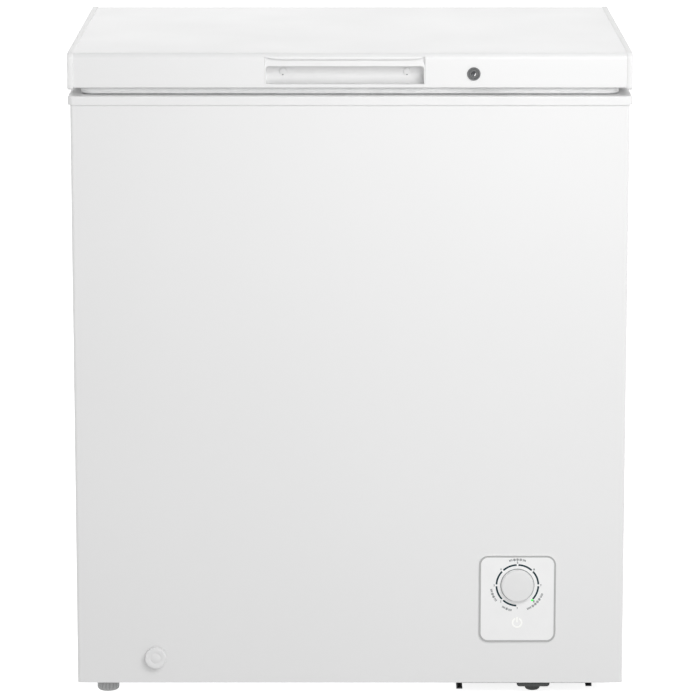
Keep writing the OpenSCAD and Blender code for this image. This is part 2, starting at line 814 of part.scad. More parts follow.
module at_mounts() {
    for (x = [-1, 1], y = [-1, 1])
        translate([shell_x + x*mount_span_x/2, shell_y + y*mount_span_y/2, ground_gap]) children();
}

module compressor_mounting_plate() {
    color("black") difference() {
        translate([shell_x, shell_y, 0])
            round_block(mount_span_x + 2*plate_margin, mount_span_y + 2*plate_margin, plate_margin,
                leg_z, leg_z + leg_t);
        at_mounts() cylinder(r = grommet_r + gap, h = leg_z);
    }
}

module compressor_grommets() {
    h = leg_z - ground_gap;
    color("dimgray") at_mounts() rotate_extrude() {
        translate([stud_r + gap, gap]) square([grommet_r - stud_r - gap, h + leg_t + 4]);
        translate([stud_r + gap, gap]) square([grommet_flange_r - stud_r - gap, h - 2*gap]);
        translate([stud_r + gap, h + leg_t + gap]) square([grommet_flange_r - 1 - stud_r - gap, 4]);
    }
}

module compressor_studs() {
    h = leg_z - ground_gap + leg_t + 4 + 2*gap;
    color("silver") at_mounts() {
        translate([0, 0, -base_t - 3]) cylinder(r = 5.5, h = 3, $fn = 6);
        translate([0, 0, -base_t - 1]) cylinder(r = stud_r, h = h + base_t + 8);
        translate([0, 0, h]) cylinder(r = 8, h = 1.5);
        translate([0, 0, h + 1]) cylinder(r = 5.5, h = 5, $fn = 6);
    }
}

module start_relay_cover() {
    out = shell_x + shell_r + relay_out;
    low = shell_z + relay_up;
    inside = shell_x + shell_r + 3 + gap - relay_in/2;
    color("dimgray") difference() {
        block([shell_x + shell_r - relay_in, shell_y - relay_w/2, low],
              [out, shell_y + relay_w/2, low + relay_h]);
        translate([shell_x, shell_y, 0]) cylinder(r = shell_r + gap, h = bay_top);
        block([inside, shell_y - relay_w/2 + relay_wall, low + relay_wall],
              [out - relay_wall, shell_y + relay_w/2 - relay_wall, low + relay_h - relay_wall]);
    }
}

// The outer end of one of the compressor's stubs, and its direction
function stub_end(i, out = stub_out) = [shell_x + (shell_r + out)*cos(stub_angles[i]),
    shell_y + (shell_r + out)*sin(stub_angles[i]), stub_z];

module compressor_tubes() {
    discharge = stub_end(2);
    discharge_out = stub_end(2, stub_out + tube_reach);
    discharge_in = [discharge_out[0] - tube_jog_x, discharge_out[1] - tube_jog_y];
    suction = stub_end(1);
    suction_out = stub_end(1, stub_out + suction_reach);
    suction_in = suction_out[0] - suction_jog;
    process = stub_end(0);
    process_out = stub_end(0, stub_out + tube_reach);
    color("peru") {
        swept_bar(rounded_path([discharge, discharge_out,
            [discharge_out[0], discharge_out[1], bay_top - tube_turn],
            [discharge_in[0], discharge_in[1], bay_top - tube_turn/2],
            [discharge_in[0], discharge_in[1], bay_top - sheet_t]], 9, 3), tube_r, 8, [0, 0, 1]);
        swept_bar(rounded_path([suction, suction_out,
            [suction_out[0], suction_out[1], bay_top - suction_turn],
            [suction_in, suction_out[1], bay_top - suction_turn],
            [suction_in, suction_out[1], bay_top - sheet_t]], 12, 3), suction_r, 8, [0, 0, 1]);
        swept_bar(rounded_path([process, process_out,
            [process_out[0], process_out[1], stub_z + process_h]], 9, 3), tube_r, 8, [0, 0, 1]);
    }
}

module filter_drier() {
    color("peru") translate([drier_x, drier_y, 0]) rotate_extrude() {
        polygon([[0, drier_z], [drier_foot_r, drier_z], [drier_foot_r, drier_z + drier_neck/2],
                 [drier_r, drier_z + drier_neck], [drier_r, drier_z + drier_h - drier_neck/2],
                 [drier_foot_r + 0.8, drier_z + drier_h], [drier_foot_r + 0.8, bay_top - sheet_t],
                 [0, bay_top - sheet_t]]);
    }
}

module capillary_tube() {
    z = drier_z - 0.2;
    low = z - capillary_drop;
    mid_x = -2.5*capillary_coil_r;
    path = concat([[0, 0, z]], [[0, 0, low]], [[-1.5*capillary_coil_r, 0, low]],
        [for (i = [0:20])
            [mid_x + capillary_coil_r*cos(30*i - 90), capillary_coil_r*sin(30*i - 90), low + 1.2*i]],
        [[mid_x - capillary_coil_r, 0, z + capillary_rise],
         [mid_x - capillary_coil_r, 0, bay_top - sheet_t]]);
    color("peru") translate([drier_x, drier_y, 0]) swept_bar(path, capillary_r, 6, [0.2, 1, 0.1]);
}

// ---------------------------------------------------------------- controls

module control_panel() {
    color("whitesmoke") difference() {
        translate([panel_x, cab_front, ground_gap + panel_z]) rotate([90, 0, 0])
            linear_extrude(panel_t) round_rect(panel_w, panel_h, panel_r);
        translate([panel_x, panel_front + 0.5, ground_gap + panel_z]) rotate([90, 0, 0])
            linear_extrude(1) difference() {
                round_rect(panel_w - 2*panel_lip, panel_h - 2*panel_lip, panel_r - panel_lip);
                round_rect(panel_w - 2*face_in, panel_h - 2*face_in, panel_r - face_in);
            }
        bar_y(panel_x, dial_z, cab_front - 9, cab_front + 9, bush_out_r + fit);
        bar_y(panel_x, lamp_z, cab_front - 9, cab_front + 9, lamp_r + fit);
        bar_y(led_x, led_z, cab_front - 9, cab_front + 9, led_r + fit);
    }
}

module control_housing() {
    w = panel_w - 20 - 2*gap;
    h = panel_h - 20 - 2*gap;
    color("lightgray") translate([panel_x, cab_front, ground_gap + panel_z])
        rotate([-90, 0, 0]) difference() {
        linear_extrude(housing_depth) round_rect(w, h, 5 - gap);
        translate([0, 0, -1]) linear_extrude(housing_depth - 1) round_rect(w - 4, h - 4, 3 - gap);
        translate([0, h/2 - 16, housing_depth - 5]) cylinder(r = 6, h = 10);
    }
}

module thermostat() {
    color("silver") difference() {
        union() {
            block([panel_x - 22, cab_front, dial_z - 14], [panel_x + 22, cab_front + 26, dial_z + 18]);
            bar_y(panel_x, dial_z, panel_front - 2, cab_front + 1, bush_out_r);
        }
        bar_y(panel_x, dial_z, panel_front - 3, cab_front + 12, shaft_r + fit);
    }
}

module thermostat_shaft() {
    color("silver") bar_y(panel_x, dial_z, panel_front - dial_proud + 1.8, cab_front + 11.5, shaft_r);
}

module temperature_dial() {
    color("gainsboro") translate([panel_x, panel_front - dial_proud, dial_z])
        rotate([-90, 0, 0]) difference() {
        rotate_extrude() {
            square([dial_r - 1, dial_proud - gap]);
            translate([dial_r - 1, 1]) circle(r = 1);
            translate([0, 1]) square([dial_r, dial_proud - gap - 1]);
        }
        difference() {
            translate([0, 0, 1.6]) cylinder(r = dial_r - 2, h = dial_proud);
            cylinder(r = shaft_r + 3, h = dial_proud - 2.3);
        }
        translate([0, 0, 1.8]) cylinder(r = shaft_r, h = dial_proud);
    }
}

module power_lamp_lens() {
    color("white") {
        bar_y(panel_x, lamp_z, panel_front, cab_front + 1, lamp_r);
        bar_y(panel_x, lamp_z, cab_front, cab_front + 3, lamp_r + 2);
    }
}

module fast_freeze_lamp_lens() {
    color("green") {
        bar_y(led_x, led_z, panel_front - 0.4, cab_front + 1, led_r);
        bar_y(led_x, led_z, cab_front, cab_front + 3, led_r + 1);
    }
}

// ---------------------------------------------------------------- drain

module drain_pipe() {
    color("white") difference() {
        union() {
            translate([-drain_x, drain_y, drain_level - elbow_r + 0.5])
                cylinder(r = elbow_r, h = cavity_floor - liner_t - drain_level + elbow_r - 0.5);
            bar_y(-drain_x, drain_level, cab_front + 10, drain_y, drain_bore_r + 1.5);
        }
        translate([-drain_x, drain_y, drain_level - drain_bore_r - 0.4])
            cylinder(r = drain_bore_r + 0.4, h = cavity_floor);
        bar_y(-drain_x, drain_level, cab_front, drain_y, drain_bore_r);
    }
}

module drain_spigot() {
    color("white") difference() {
        union() {
            bar_y(-drain_x, drain_level, cab_front - 5, cab_front, spigot_r);
            bar_y(-drain_x, drain_level, cab_front - 1.5, cab_front, drain_cap_r - 1);
            bar_y(-drain_x, drain_level, cab_front - 1, cab_front + 20, drain_bore_r + 4);
            translate([-drain_x, cab_front + 6, drain_level]) rotate([90, 0, 0])
                cylinder(r = 16, h = 6 - sheet_t, $fn = 6);
        }
        bar_y(-drain_x, drain_level, cab_front - 6, cab_front + 21, drain_bore_r);
        bar_y(-drain_x, drain_level, cab_front + 10, cab_front + 21, drain_bore_r + 1.5 + fit);
    }
}

module drain_seal() {
    color("dimgray")
        bar_y(-drain_x, drain_level, cab_front - 5 - gap - 1.6, cab_front - 5 - gap, spigot_r - gap);
}

module drain_cap() {
    depth = drain_cap_proud - 1.5 - gap;
    color("gainsboro") translate([-drain_x, cab_front - drain_cap_proud, drain_level]) rotate([-90, 0, 0])
        difference() {
            union() {
                cylinder(r = drain_cap_r - 1, h = 2);
                translate([0, 0, 1]) linear_extrude(depth - 1) difference() {
                    circle(r = drain_cap_r);
                    for (i = [0:35])
                        rotate(10*i) translate([drain_cap_r + 0.3, 0]) circle(r = 0.8);
                }
            }
            translate([0, 0, drain_cap_proud - 5 - 2*gap - 1.6]) cylinder(r = spigot_r + fit, h = 20);
            translate([0, 0, -0.4]) difference() {
                cylinder(r = 9.5, h = 0.8);
                cylinder(r = 6, h = 0.8);
            }
        }
}

module cavity_drain_plug() {
    color("dimgray") translate([-drain_x, drain_y, cavity_floor]) {
        translate([0, 0, -14]) cylinder(r = drain_bore_r - gap, h = 15);
        translate([0, 0, gap]) cylinder(r = 12, h = 3);
        translate([0, 0, 2]) cylinder(r = 3.5, h = 8);
        translate([0, 0, 8]) cylinder(r = 6, h = 3);
    }
}

// ---------------------------------------------------------------- feet

module foot_nuts() {
    color("silver") for (y = foot_y) translate([foot_x, y, floor_panel_top]) difference() {
        union() {
            cylinder(r = nut_r, h = nut_h, $fn = 6);
            cylinder(r = stem_r + 2.5, h = stem_h - 8);
        }
        translate([0, 0, -1]) cylinder(r = stem_r + fit, h = stem_h - 9);
    }
}

module foot_stem(y) {
    color("silver") translate([foot_x, y, stem_bottom]) cylinder(r = stem_r, h = stem_h);
}

module foot_cup(y) {
    color("gray") translate([foot_x, y, 0]) difference() {
        union() {
            rotate_extrude() {
                square([foot_r - 4.5, 12]);
                translate([foot_r - 4.5, 4.5]) circle(r = 4.5);
                square([8, cup_top]);
            }
            translate([0, 0, 4.5]) linear_extrude(cup_top - 6.5) difference() {
                circle(r = foot_r);
                for (i = [0:17])
                    rotate(20*i) translate([foot_r + 0.5, 0]) circle(r = 1.4);
            }
        }
        translate([0, 0, stem_bottom - fit]) cylinder(r = stem_r + fit, h = 50);
    }
}

module front_foot_stem() {
    foot_stem(foot_y[0]);
}

module front_foot_cup() {
    foot_cup(foot_y[0]);
}

module rear_foot_stem() {
    foot_stem(foot_y[1]);
}

module rear_foot_cup() {
    foot_cup(foot_y[1]);
}

// ---------------------------------------------------------------- hinges

// A 2D profile (x backwards, y up) drawn along X from x0 to x1
module along_x(x0, x1) {
    translate([x0, 0, 0]) rotate([90, 0, 90]) linear_extrude(x1 - x0) children();
}

module at_hinges() {
    for (x = [-hinge_x, hinge_x])
        translate([x, 0, 0]) children();
}

module at_bracket_screws() {
    for (x = [-16, 16], z = [bracket_top - 16, bracket_top - bracket_h + 14])
        at_hinges() translate([x, cab_back, z]) rotate([90, 0, 0]) children();
}

module hinge_brackets() {
    r = ear_r - 0.5;
    color("silver") difference() {
        at_hinges() {
            block([-bracket_w/2, cab_back, bracket_top - bracket_h],
                  [bracket_w/2, cab_back + plate_t, bracket_top]);
            for (x = [-bracket_w/2, bracket_w/2 - plate_t])
                along_x(x, x + plate_t) difference() {
                    union() {
                        polygon([[cab_back + 1, bracket_top - 64], [cab_back + 1, bracket_top],
                                 [hinge_y - r, bracket_top + 1], [hinge_y - r, hinge_z],
                                 [hinge_y + r, hinge_z], [hinge_y + r - 2, bracket_top - 10]]);
                        translate([hinge_y, hinge_z]) circle(r = ear_r);
                    }
                    translate([hinge_y, hinge_z]) circle(r = pin_r + fit);
                }
        }
        at_bracket_screws() cylinder(r = bracket_screw_r + fit, h = 20, center = true);
    }
}

module hinge_bracket_screws() {
    color("silver") at_bracket_screws() {
        translate([0, 0, -plate_t - 1.8]) cylinder(r = 4, h = 1.8);
        translate([0, 0, -plate_t - 1]) cylinder(r = bracket_screw_r, h = plate_t + 1 + sheet_t);
    }
}

module hinge_pins() {
    half = bracket_w/2;
    color("silver") at_hinges() {
        bar_x(hinge_y, hinge_z, -half - 1, half + 1, pin_r);
        bar_x(hinge_y, hinge_z, -half - 1.5, -half, pin_r + 2);
        bar_x(hinge_y, hinge_z, half, half + 1.5, pin_r + 2);
    }
}

module hinge_springs() {
    steps = 10;
    half = arm_w/2 - plate_t - 4;
    coil = [for (i = [0:spring_turns*steps]) let (a = 180 - 360*i/steps)
        [half*(2*i/(spring_turns*steps) - 1), spring_r*cos(a), spring_r*sin(a)]];
    seat = plate_t + spring_wire_r + 0.1 - hinge_y;
    root_leg = [[-half, cab_back + seat, -spring_root], [-half, -spring_r - 1.9, -spring_bend],
                [-half, -spring_r, -spring_rise]];
    lid_leg = [[half, -spring_r, spring_rise], [half, skin_back + seat, spring_tip]];
    color("dimgray") at_hinges() translate([0, hinge_y, hinge_z])
        swept_bar(concat(root_leg, coil, lid_leg), spring_wire_r, 6, [1, 0, 0]);
}

module hinge_arms() {
    r = ear_r - 1.5;
    color("silver") at_hinges() {
        block([-arm_w/2, skin_back, lid_bottom + 3], [arm_w/2, skin_back + plate_t, arm_top]);
        for (x = [-arm_w/2, arm_w/2 - plate_t])
            along_x(x, x + plate_t) difference() {
                union() {
                    polygon([[skin_back + 1, arm_top - 2], [skin_back + 1, hinge_z + 3],
                             [hinge_y - r, hinge_z], [hinge_y + r, hinge_z],
                             [hinge_y + r - 3, hinge_z + 12], [skin_back + 6, arm_top - 2]]);
                    translate([hinge_y, hinge_z]) circle(r = ear_r - 1);
                }
                translate([hinge_y, hinge_z]) circle(r = pin_r + fit);
            }
    }
}

// ---------------------------------------------------------------- lid

// Section of the lid skin, set in from its outside: round along the top edges
module lid_section(inset) {
    w = skin_back - skin_front - 2*inset;
    h = lid_h - 2*inset;
    r = lid_bend_r - inset;
    translate([skin_front + inset, lid_bottom + inset]) {
        square([w, h - r]);
        translate([r, 0]) square([w - 2*r, h]);
        for (x = [r, w - r])
            translate([x, h - r]) circle(r = r);
    }
}

module hook_slot(z0, z1) {
    block([lock_x - 7, slot_y0, z0], [lock_x + hook_reach - 2, slot_y1, z1]);
}

module lid_skin() {
    color("white") difference() {
        along_x(-skin_w/2, skin_w/2) difference() {
            lid_section(0);
            lid_section(sheet_t);
            translate([skin_front + lid_flange, lid_bottom - 1])
                square([skin_back - skin_front - 2*lid_flange, 3]);
        }
        block([handle_x - handle_w/2, skin_front - 1, lid_bottom + handle_rise],
              [handle_x + handle_w/2, skin_front + brow_back, lid_bottom + brow_top]);
        bar_y(lock_x, lock_z, skin_front - 1, skin_front + 2, barrel_r + 1.5 + fit);
        hook_slot(lid_bottom - 1, lid_bottom + 2);
    }
}

module lid_end_caps() {
    z0 = lid_bottom - cap_drop;
    h = skin_top + cap_proud - z0;
    color("whitesmoke") for (side = [0, 1]) mirror([side, 0, 0]) {
        along_x(skin_w/2, lid_w/2) {
            translate([lid_front, z0 + 4]) square([lid_d, h - 13]);
            translate([lid_front + 9, z0]) square([lid_d - 18, h]);
            for (y = [lid_front + 9, lid_back - 9])
                translate([y, z0 + h - 9]) circle(r = 9);
            for (y = [lid_front + 4, lid_back - 9])
                translate([y, z0]) square([5, 5]);
            for (y = [lid_front + 4, lid_back - 4])
                translate([y, z0 + 4]) circle(r = 4);
        }
        along_x(skin_w/2 - 6, skin_w/2 + 0.5) difference() {
            lid_section(sheet_t + gap);
            lid_section(sheet_t + gap + 2);
        }
    }
}

module lid_pan() {
    rim_x = skin_w/2 - 6.7;
    rim_d = skin_back - skin_front - 8;
    centre_w = mouth_w - 2*pan_clear;
    centre_d = mouth_d - 2*pan_clear;
    color("snow") difference() {
        translate([0, cab_mid_y, 0]) {
            translate([0, 0, pan_bottom]) linear_extrude(pan_t) difference() {
                square([2*rim_x, rim_d], center = true);
                round_rect(centre_w - 2*pan_t, centre_d - 2*pan_t, 12 - pan_t);
            }
            translate([0, 0, pan_bottom - pan_drop]) difference() {
                linear_extrude(pan_drop + pan_t/2) round_rect(centre_w, centre_d, 12);
                translate([0, 0, pan_t]) linear_extrude(pan_drop + pan_t)
                    round_rect(centre_w - 2*pan_t, centre_d - 2*pan_t, 12 - pan_t);
            }
        }
        hook_slot(pan_bottom - 1, pan_bottom + 3);
    }
}

module lid_foam() {
    base = pan_bottom + pan_t + gap;
    low = pan_bottom - pan_drop + pan_t + gap;
    side = 2*(pan_t + gap + pan_clear);
    color("khaki") difference() {
        union() {
            along_x(-skin_w/2 + 7, skin_w/2 - 7) difference() {
                lid_section(sheet_t + gap);
                translate([lid_front, lid_bottom - 1]) square([lid_d, base - lid_bottom + 1]);
            }
            translate([0, cab_mid_y, low]) linear_extrude(base + 1 - low)
                round_rect(mouth_w - side, mouth_d - side, 12 - pan_t - gap);
        }
        block([handle_x - handle_w/2 - gap, lid_front, lid_bottom],
              [handle_x + handle_w/2 + gap, skin_front + handle_depth + handle_wall + gap,
               lid_bottom + lid_h]);
        block([lock_x - 14, lid_front, lid_bottom], [lock_x + hook_reach + 4, hook_y + 10, lock_z + 14]);
    }
}

module lid_gasket() {
    h = pan_bottom - gap - collar_top - gasket_gap;
    color("lightgray") translate([0, cab_mid_y, collar_top + gasket_gap])
        round_frame(lid_w - 2*gasket_inset, lid_d - 2*gasket_inset, gasket_w + 2) difference() {
            union() {
                translate([-gasket_w, h - 1.6]) square([gasket_w, 1.6]);
                translate([-gasket_w + 3, 3.5]) square([1.2, h - 4]);
                translate([-4.2, 3.5]) square([1.2, h - 4]);
                translate([-gasket_w + 1, 0]) square([gasket_w - 2, 4.4]);
            }
            translate([-gasket_w + 3, 1]) square([gasket_w - 6, 2.2]);
        }
}

// The handle's sections, measured back from the skin's face and up from the skin's bottom edge
grip_foot = handle_rise + handle_mouth;
grip_top = grip_foot + grip_h;
brow_top = lid_h - brow_drop;
brow_front = lid_bend_r - sqrt(2*lid_bend_r*brow_drop - brow_drop*brow_drop);
under_skin_r = lid_bend_r - sheet_t - gap;
brow_angle = asin((lid_bend_r - brow_drop - fit)/under_skin_r);
brow_back = lid_bend_r - under_skin_r*cos(brow_angle);
grip_lip = 1;
grip_back = 5;

module at_handle(x0, x1) {
    along_x(x0, x1) translate([skin_front, lid_bottom]) children();
}

// A prism through the handle along Y, from a list of (x, height) points
module through_handle(points) {
    translate([0, skin_front + handle_depth, lid_bottom]) rotate([90, 0, 0]) linear_extrude(handle_depth + 2)
        polygon(points);
}

// The hollow in front of the grip's slanted face: its ends run forward to the skin and rise into the brow
module grip_hollow(x0, x1) {
    rise = brow_top - grip_top - 0.4;
    slope = (grip_back - grip_lip)/grip_h;
    deep = grip_back + slope*rise + 0.2;
    run = 22;
    intersection() {
        at_handle(x0, x1)
            polygon([[-1, grip_foot - 0.5], [grip_lip - 0.5*slope, grip_foot - 0.5],
                     [grip_back + slope*rise, grip_top + rise], [-1, grip_top + rise]]);
        through_handle(concat([[x0, grip_foot - 1]], [[x1, grip_foot - 1]],
            [for (a = [90:-15:0]) [x1 - brow_sweep*(1 - sin(a)), grip_top + rise*(1 - cos(a))]],
            [for (a = [0:15:90]) [x0 + brow_sweep*(1 - sin(a)), grip_top + rise*(1 - cos(a))]]));
        translate([0, skin_front, lid_bottom]) linear_extrude(lid_h)
            polygon(concat([[x0, -1]], [for (a = [0:15:90]) [x0 + run*(1 - cos(a)), deep*sin(a)]],
                [for (a = [90:-15:0]) [x1 - run*(1 - cos(a)), deep*sin(a)]], [[x1, -1]]));
    }
}

// The recess for the fingers, and the pocket behind the grip that their tips reach into
module finger_recess(x0, x1) {
    r = handle_corner_r;
    bend = handle_depth - 10;
    intersection() {
        at_handle(x0, x1)
            polygon(concat([[-1, handle_rise]], arc([handle_depth - bend, handle_rise + bend], bend, -90, 0),
                [[handle_depth, grip_foot], [-1, grip_foot]]));
        through_handle(concat([[x0, handle_rise - 1], [x1, handle_rise - 1]],
            arc([x1 - r, grip_foot - r], r, 0, 90), arc([x0 + r, grip_foot - r], r, 90, 180)));
    }
    at_handle(x0 + r, x1 - r)
        polygon([[grip_back, grip_foot - 1], [handle_depth, grip_foot - 1],
                 [handle_depth, grip_top - 7], [handle_depth - 4, grip_top - 2.5],
                 [grip_back + 3, grip_top - 2.5], [grip_back, grip_foot]]);
}

module handle_moulding() {
    x0 = handle_x - handle_w/2 + 0.1;
    x1 = handle_x + handle_w/2 - 0.1;
    bend = handle_depth - 10;
    color("white") difference() {
        at_handle(x0, x1)
            polygon(concat([[grip_lip, handle_rise - handle_wall]],
                arc([handle_depth - bend, handle_rise + bend], bend + handle_wall, -90, 0),
                [[handle_depth + handle_wall, grip_top - 6], [handle_depth - 3, grip_top]],
                arc([lid_bend_r, lid_h - lid_bend_r], under_skin_r, 85, 180 - brow_angle),
                [[brow_front, brow_top - fit], [0.35, brow_top - 1.4], [0, grip_top + 1.5],
                 [0, grip_foot + 1], [grip_lip, grip_foot]]));
        grip_hollow(x0, x1);
        finger_recess(x0 + handle_wall, x1 - handle_wall);
        at_screw_caps(handle_depth) cylinder(r = screw_cap_r + fit, h = 4);
    }
}

// The screw caps sit in flats at the back of the recess
module at_screw_caps(back) {
    for (x = [-1, 1])
        translate([handle_x + x*screw_cap_span/2, skin_front + back, lid_bottom + screw_cap_rise])
            rotate([90, 0, 0]) children();
}

module handle_screw_caps() {
    color("gainsboro") at_screw_caps(handle_depth) cylinder(r = screw_cap_r, h = 1.4);
}

// ---------------------------------------------------------------- lock

module lock_bezel() {
    color("dimgray") difference() {
        union() {
            bar_y(lock_x, lock_z, skin_front - 2, skin_front, bezel_r);
            bar_y(lock_x, lock_z, skin_front - 1, hook_y - 0.4, barrel_r + 1.5);
            bar_y(lock_x, lock_z, skin_front + sheet_t, skin_front + sheet_t + 2, barrel_r + 4);
        }
        bar_y(lock_x, lock_z, skin_front - 3, hook_y, barrel_r + fit);
    }
}

module lock_barrel() {
    color("silver") difference() {
        union() {
            bar_y(lock_x, lock_z, skin_front - 1.4, hook_y, barrel_r);
            bar_y(lock_x, lock_z, hook_y - 1, hook_y + hook_t + 1, 2.5);
            bar_y(lock_x, lock_z, hook_y + hook_t, hook_y + hook_t + 2, 4.5);
        }
        block([lock_x - 0.7, skin_front - 3, lock_z - 3], [lock_x + 0.7, skin_front + 2, lock_z + 3]);
    }
}

module lock_hook() {
    color("silver") translate([lock_x, hook_y + hook_t, lock_z]) rotate([90, 0, 0]) linear_extrude(hook_t)
        difference() {
            polygon(concat(arc([0, 0], hook_reach, asin(hook_w/2/hook_reach), -toe_angle, 6),
                [toe_r*[cos(toe_angle), -sin(toe_angle)], [toe_r - 1, -hook_w/2]],
                arc([0, 0], hook_eye_r, -asin(hook_w/2/hook_eye_r), asin(hook_w/2/hook_eye_r) - 360, 16)));
            circle(r = 2.5 + fit);
        }
}

module lock_strike() {
    color("silver") difference() {
        block([lock_x - 20, slot_y0 - 1.5, wrap_top - strike_t], [lock_x + 35, slot_y1 + 9, wrap_top]);
        block([lock_x - 5, slot_y0, wrap_top - 5], [lock_x + 29, slot_y1, wrap_top + 1]);
    }
}

// ---------------------------------------------------------------- basket

// Places of wires one pitch apart about the middle of a width
function wire_places(width) = let (n = floor(width/mesh_pitch)) [for (i = [0:n]) (i - n/2)*mesh_pitch];

// One side: upright wires at the given places, with level wires welded on outside them
module basket_side(places, half, bottom, top) {
    for (x = places)
        translate([x, 0, bottom]) cylinder(r = mesh_wire_r, h = top - bottom, $fn = 24);
    for (z = [bottom + side_pitch:side_pitch:top - side_pitch/2])
        bar_x(mesh_weld - 2*mesh_wire_r, z, -half, half, mesh_wire_r, $fn = 24);
}

module basket_rim() {
    color("white") translate([basket_x, cab_mid_y, rim_z])
        round_frame(basket_w - 2*rim_wire_r, 2*rim_y, rim_corner - rim_wire_r)
            circle(r = rim_wire_r, $fn = 24);
}

module basket_mesh() {
    lap = 0.08;
    inset = rim_wire_r + mesh_wire_r + lap;
    half_x = basket_w/2 - rim_wire_r - inset;
    half_y = rim_y - inset;
    bottom = rim_z - basket_h;
    low = bottom - mesh_wire_r;
    top = rim_z + rim_wire_r;
    places_x = wire_places(basket_w - 40);
    places_y = wire_places(2*half_y - 30);
    color("white") translate([basket_x, cab_mid_y, 0]) {
        for (turn = [0, 180]) {
            rotate(turn) translate([0, -half_y, 0]) basket_side(places_x, half_x - 6, low, top);
            rotate(turn + 90) translate([0, -half_x, 0]) basket_side(places_y, half_y - 6, low, top);
        }
        for (x = places_x)
            bar_y(x, bottom, mesh_wire_r + lap - half_y, half_y - mesh_wire_r - lap, mesh_wire_r, $fn = 24);
        for (y = places_y)
            bar_x(y, bottom + 2*mesh_wire_r - mesh_weld, mesh_wire_r + lap - half_x,
                half_x - mesh_wire_r - lap, mesh_wire_r, $fn = 24);
    }
}

module basket_hangers() {
    back = mouth_d/2 - hanger_gap;
    front = back - hanger_t;
    foot = rim_z - rim_wire_r - 3;
    color("whitesmoke") translate([basket_x, cab_mid_y, 0]) for (turn = [0, 180]) rotate(turn)
        along_x(-hanger_len/2, hanger_len/2) {
            translate([front, foot]) square([hanger_t, collar_top + hanger_t - foot]);
            translate([front, collar_top]) square([hanger_gap + hanger_t + hanger_lip, hanger_t]);
            translate([front - rim_wire_r, foot]) square([rim_wire_r + 1, 2.9]);
        }
}

// ---------------------------------------------------------------- the whole

outer_wrap();
back_panel();
bottom_panel();
liner_walls();
liner_floor();
cabinet_foam();
top_collar();
evaporator_coil();
condenser_coil();
bay_partition();
base_plate();
fixed_feet();
foot_nuts();
front_foot_stem();
front_foot_cup();
rear_foot_stem();
rear_foot_cup();
rear_cover();
rear_cover_screws();
cord_bush();
side_grille();
compressor_shell();
compressor_mounting_plate();
compressor_grommets();
compressor_studs();
start_relay_cover();
compressor_tubes();
filter_drier();
capillary_tube();
control_panel();
control_housing();
thermostat();
thermostat_shaft();
temperature_dial();
power_lamp_lens();
fast_freeze_lamp_lens();
drain_pipe();
drain_spigot();
drain_seal();
drain_cap();
cavity_drain_plug();
hinge_brackets();
hinge_bracket_screws();
hinge_pins();
hinge_springs();
hinge_arms();
lid_skin();
lid_pan();
lid_foam();
lid_gasket();
lid_end_caps();
handle_moulding();
handle_screw_caps();
lock_bezel();
lock_barrel();
lock_hook();
lock_strike();
basket_rim();
basket_mesh();
basket_hangers();
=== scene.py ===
"""Chest freezer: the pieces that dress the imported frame, their finishes, and a plain studio stage."""

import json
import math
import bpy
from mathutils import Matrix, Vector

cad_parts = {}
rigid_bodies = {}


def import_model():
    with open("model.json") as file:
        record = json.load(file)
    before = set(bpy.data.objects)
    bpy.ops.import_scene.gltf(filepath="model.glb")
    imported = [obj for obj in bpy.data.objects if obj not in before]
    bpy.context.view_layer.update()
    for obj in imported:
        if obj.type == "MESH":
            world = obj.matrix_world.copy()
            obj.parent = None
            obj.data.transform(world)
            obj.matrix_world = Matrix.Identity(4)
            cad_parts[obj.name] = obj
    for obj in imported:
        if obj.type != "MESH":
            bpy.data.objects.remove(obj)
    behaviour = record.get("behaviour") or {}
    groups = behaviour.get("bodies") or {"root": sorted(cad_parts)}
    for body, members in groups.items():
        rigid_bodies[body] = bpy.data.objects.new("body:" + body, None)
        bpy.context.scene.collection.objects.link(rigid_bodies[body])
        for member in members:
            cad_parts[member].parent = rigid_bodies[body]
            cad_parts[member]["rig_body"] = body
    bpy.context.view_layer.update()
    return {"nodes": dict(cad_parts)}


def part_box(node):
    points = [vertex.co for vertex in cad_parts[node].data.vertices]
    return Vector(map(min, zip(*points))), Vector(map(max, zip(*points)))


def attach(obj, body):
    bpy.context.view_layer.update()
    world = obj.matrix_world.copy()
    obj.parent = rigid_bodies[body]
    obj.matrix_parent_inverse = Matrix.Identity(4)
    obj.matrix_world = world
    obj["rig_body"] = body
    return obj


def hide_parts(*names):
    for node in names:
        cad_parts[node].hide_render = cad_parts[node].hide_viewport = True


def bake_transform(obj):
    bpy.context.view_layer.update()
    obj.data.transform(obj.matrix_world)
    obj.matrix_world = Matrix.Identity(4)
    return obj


bl_info = {
    "name": "Chest Freezer",
    "version": (1, 0, 0),
    "blender": (4, 5, 0),
    "location": "View3D > Sidebar > Freezer",
    "description": "Dresses the packed frame of a chest freezer and sets it on a plain studio stage",
    "category": "Object",
}

import bmesh
import bpy
import numpy as np
from mathutils import Vector

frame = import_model()

MM = 0.001
BOX = {name: np.array([list(corner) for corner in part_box(name)]) / MM for name in frame["nodes"]}


def low(node, axis):
    """Lowest coordinate of a CAD node along an axis (0, 1 or 2), in millimetres."""
    return float(BOX[node][0][axis])


def high(node, axis):
    """Highest coordinate of a CAD node along an axis (0, 1 or 2), in millimetres."""
    return float(BOX[node][1][axis])


def middle(node):
    """Middle of a CAD node's box, in millimetres."""
    return BOX[node].mean(0)


def mm(length):
    """A length property's value in millimetres."""
    return length / MM


def hook_slot(front):
    """Left, right, front and back of the slot that the lock's hook turns through. The lid's flange and the
    pan behind it both have it."""
    depth = 5
    return low("lock_barrel", 0) - 1, high("lock_hook", 0) - 2, front, front + depth


# ------------------------------------------------------------------ properties and nodes


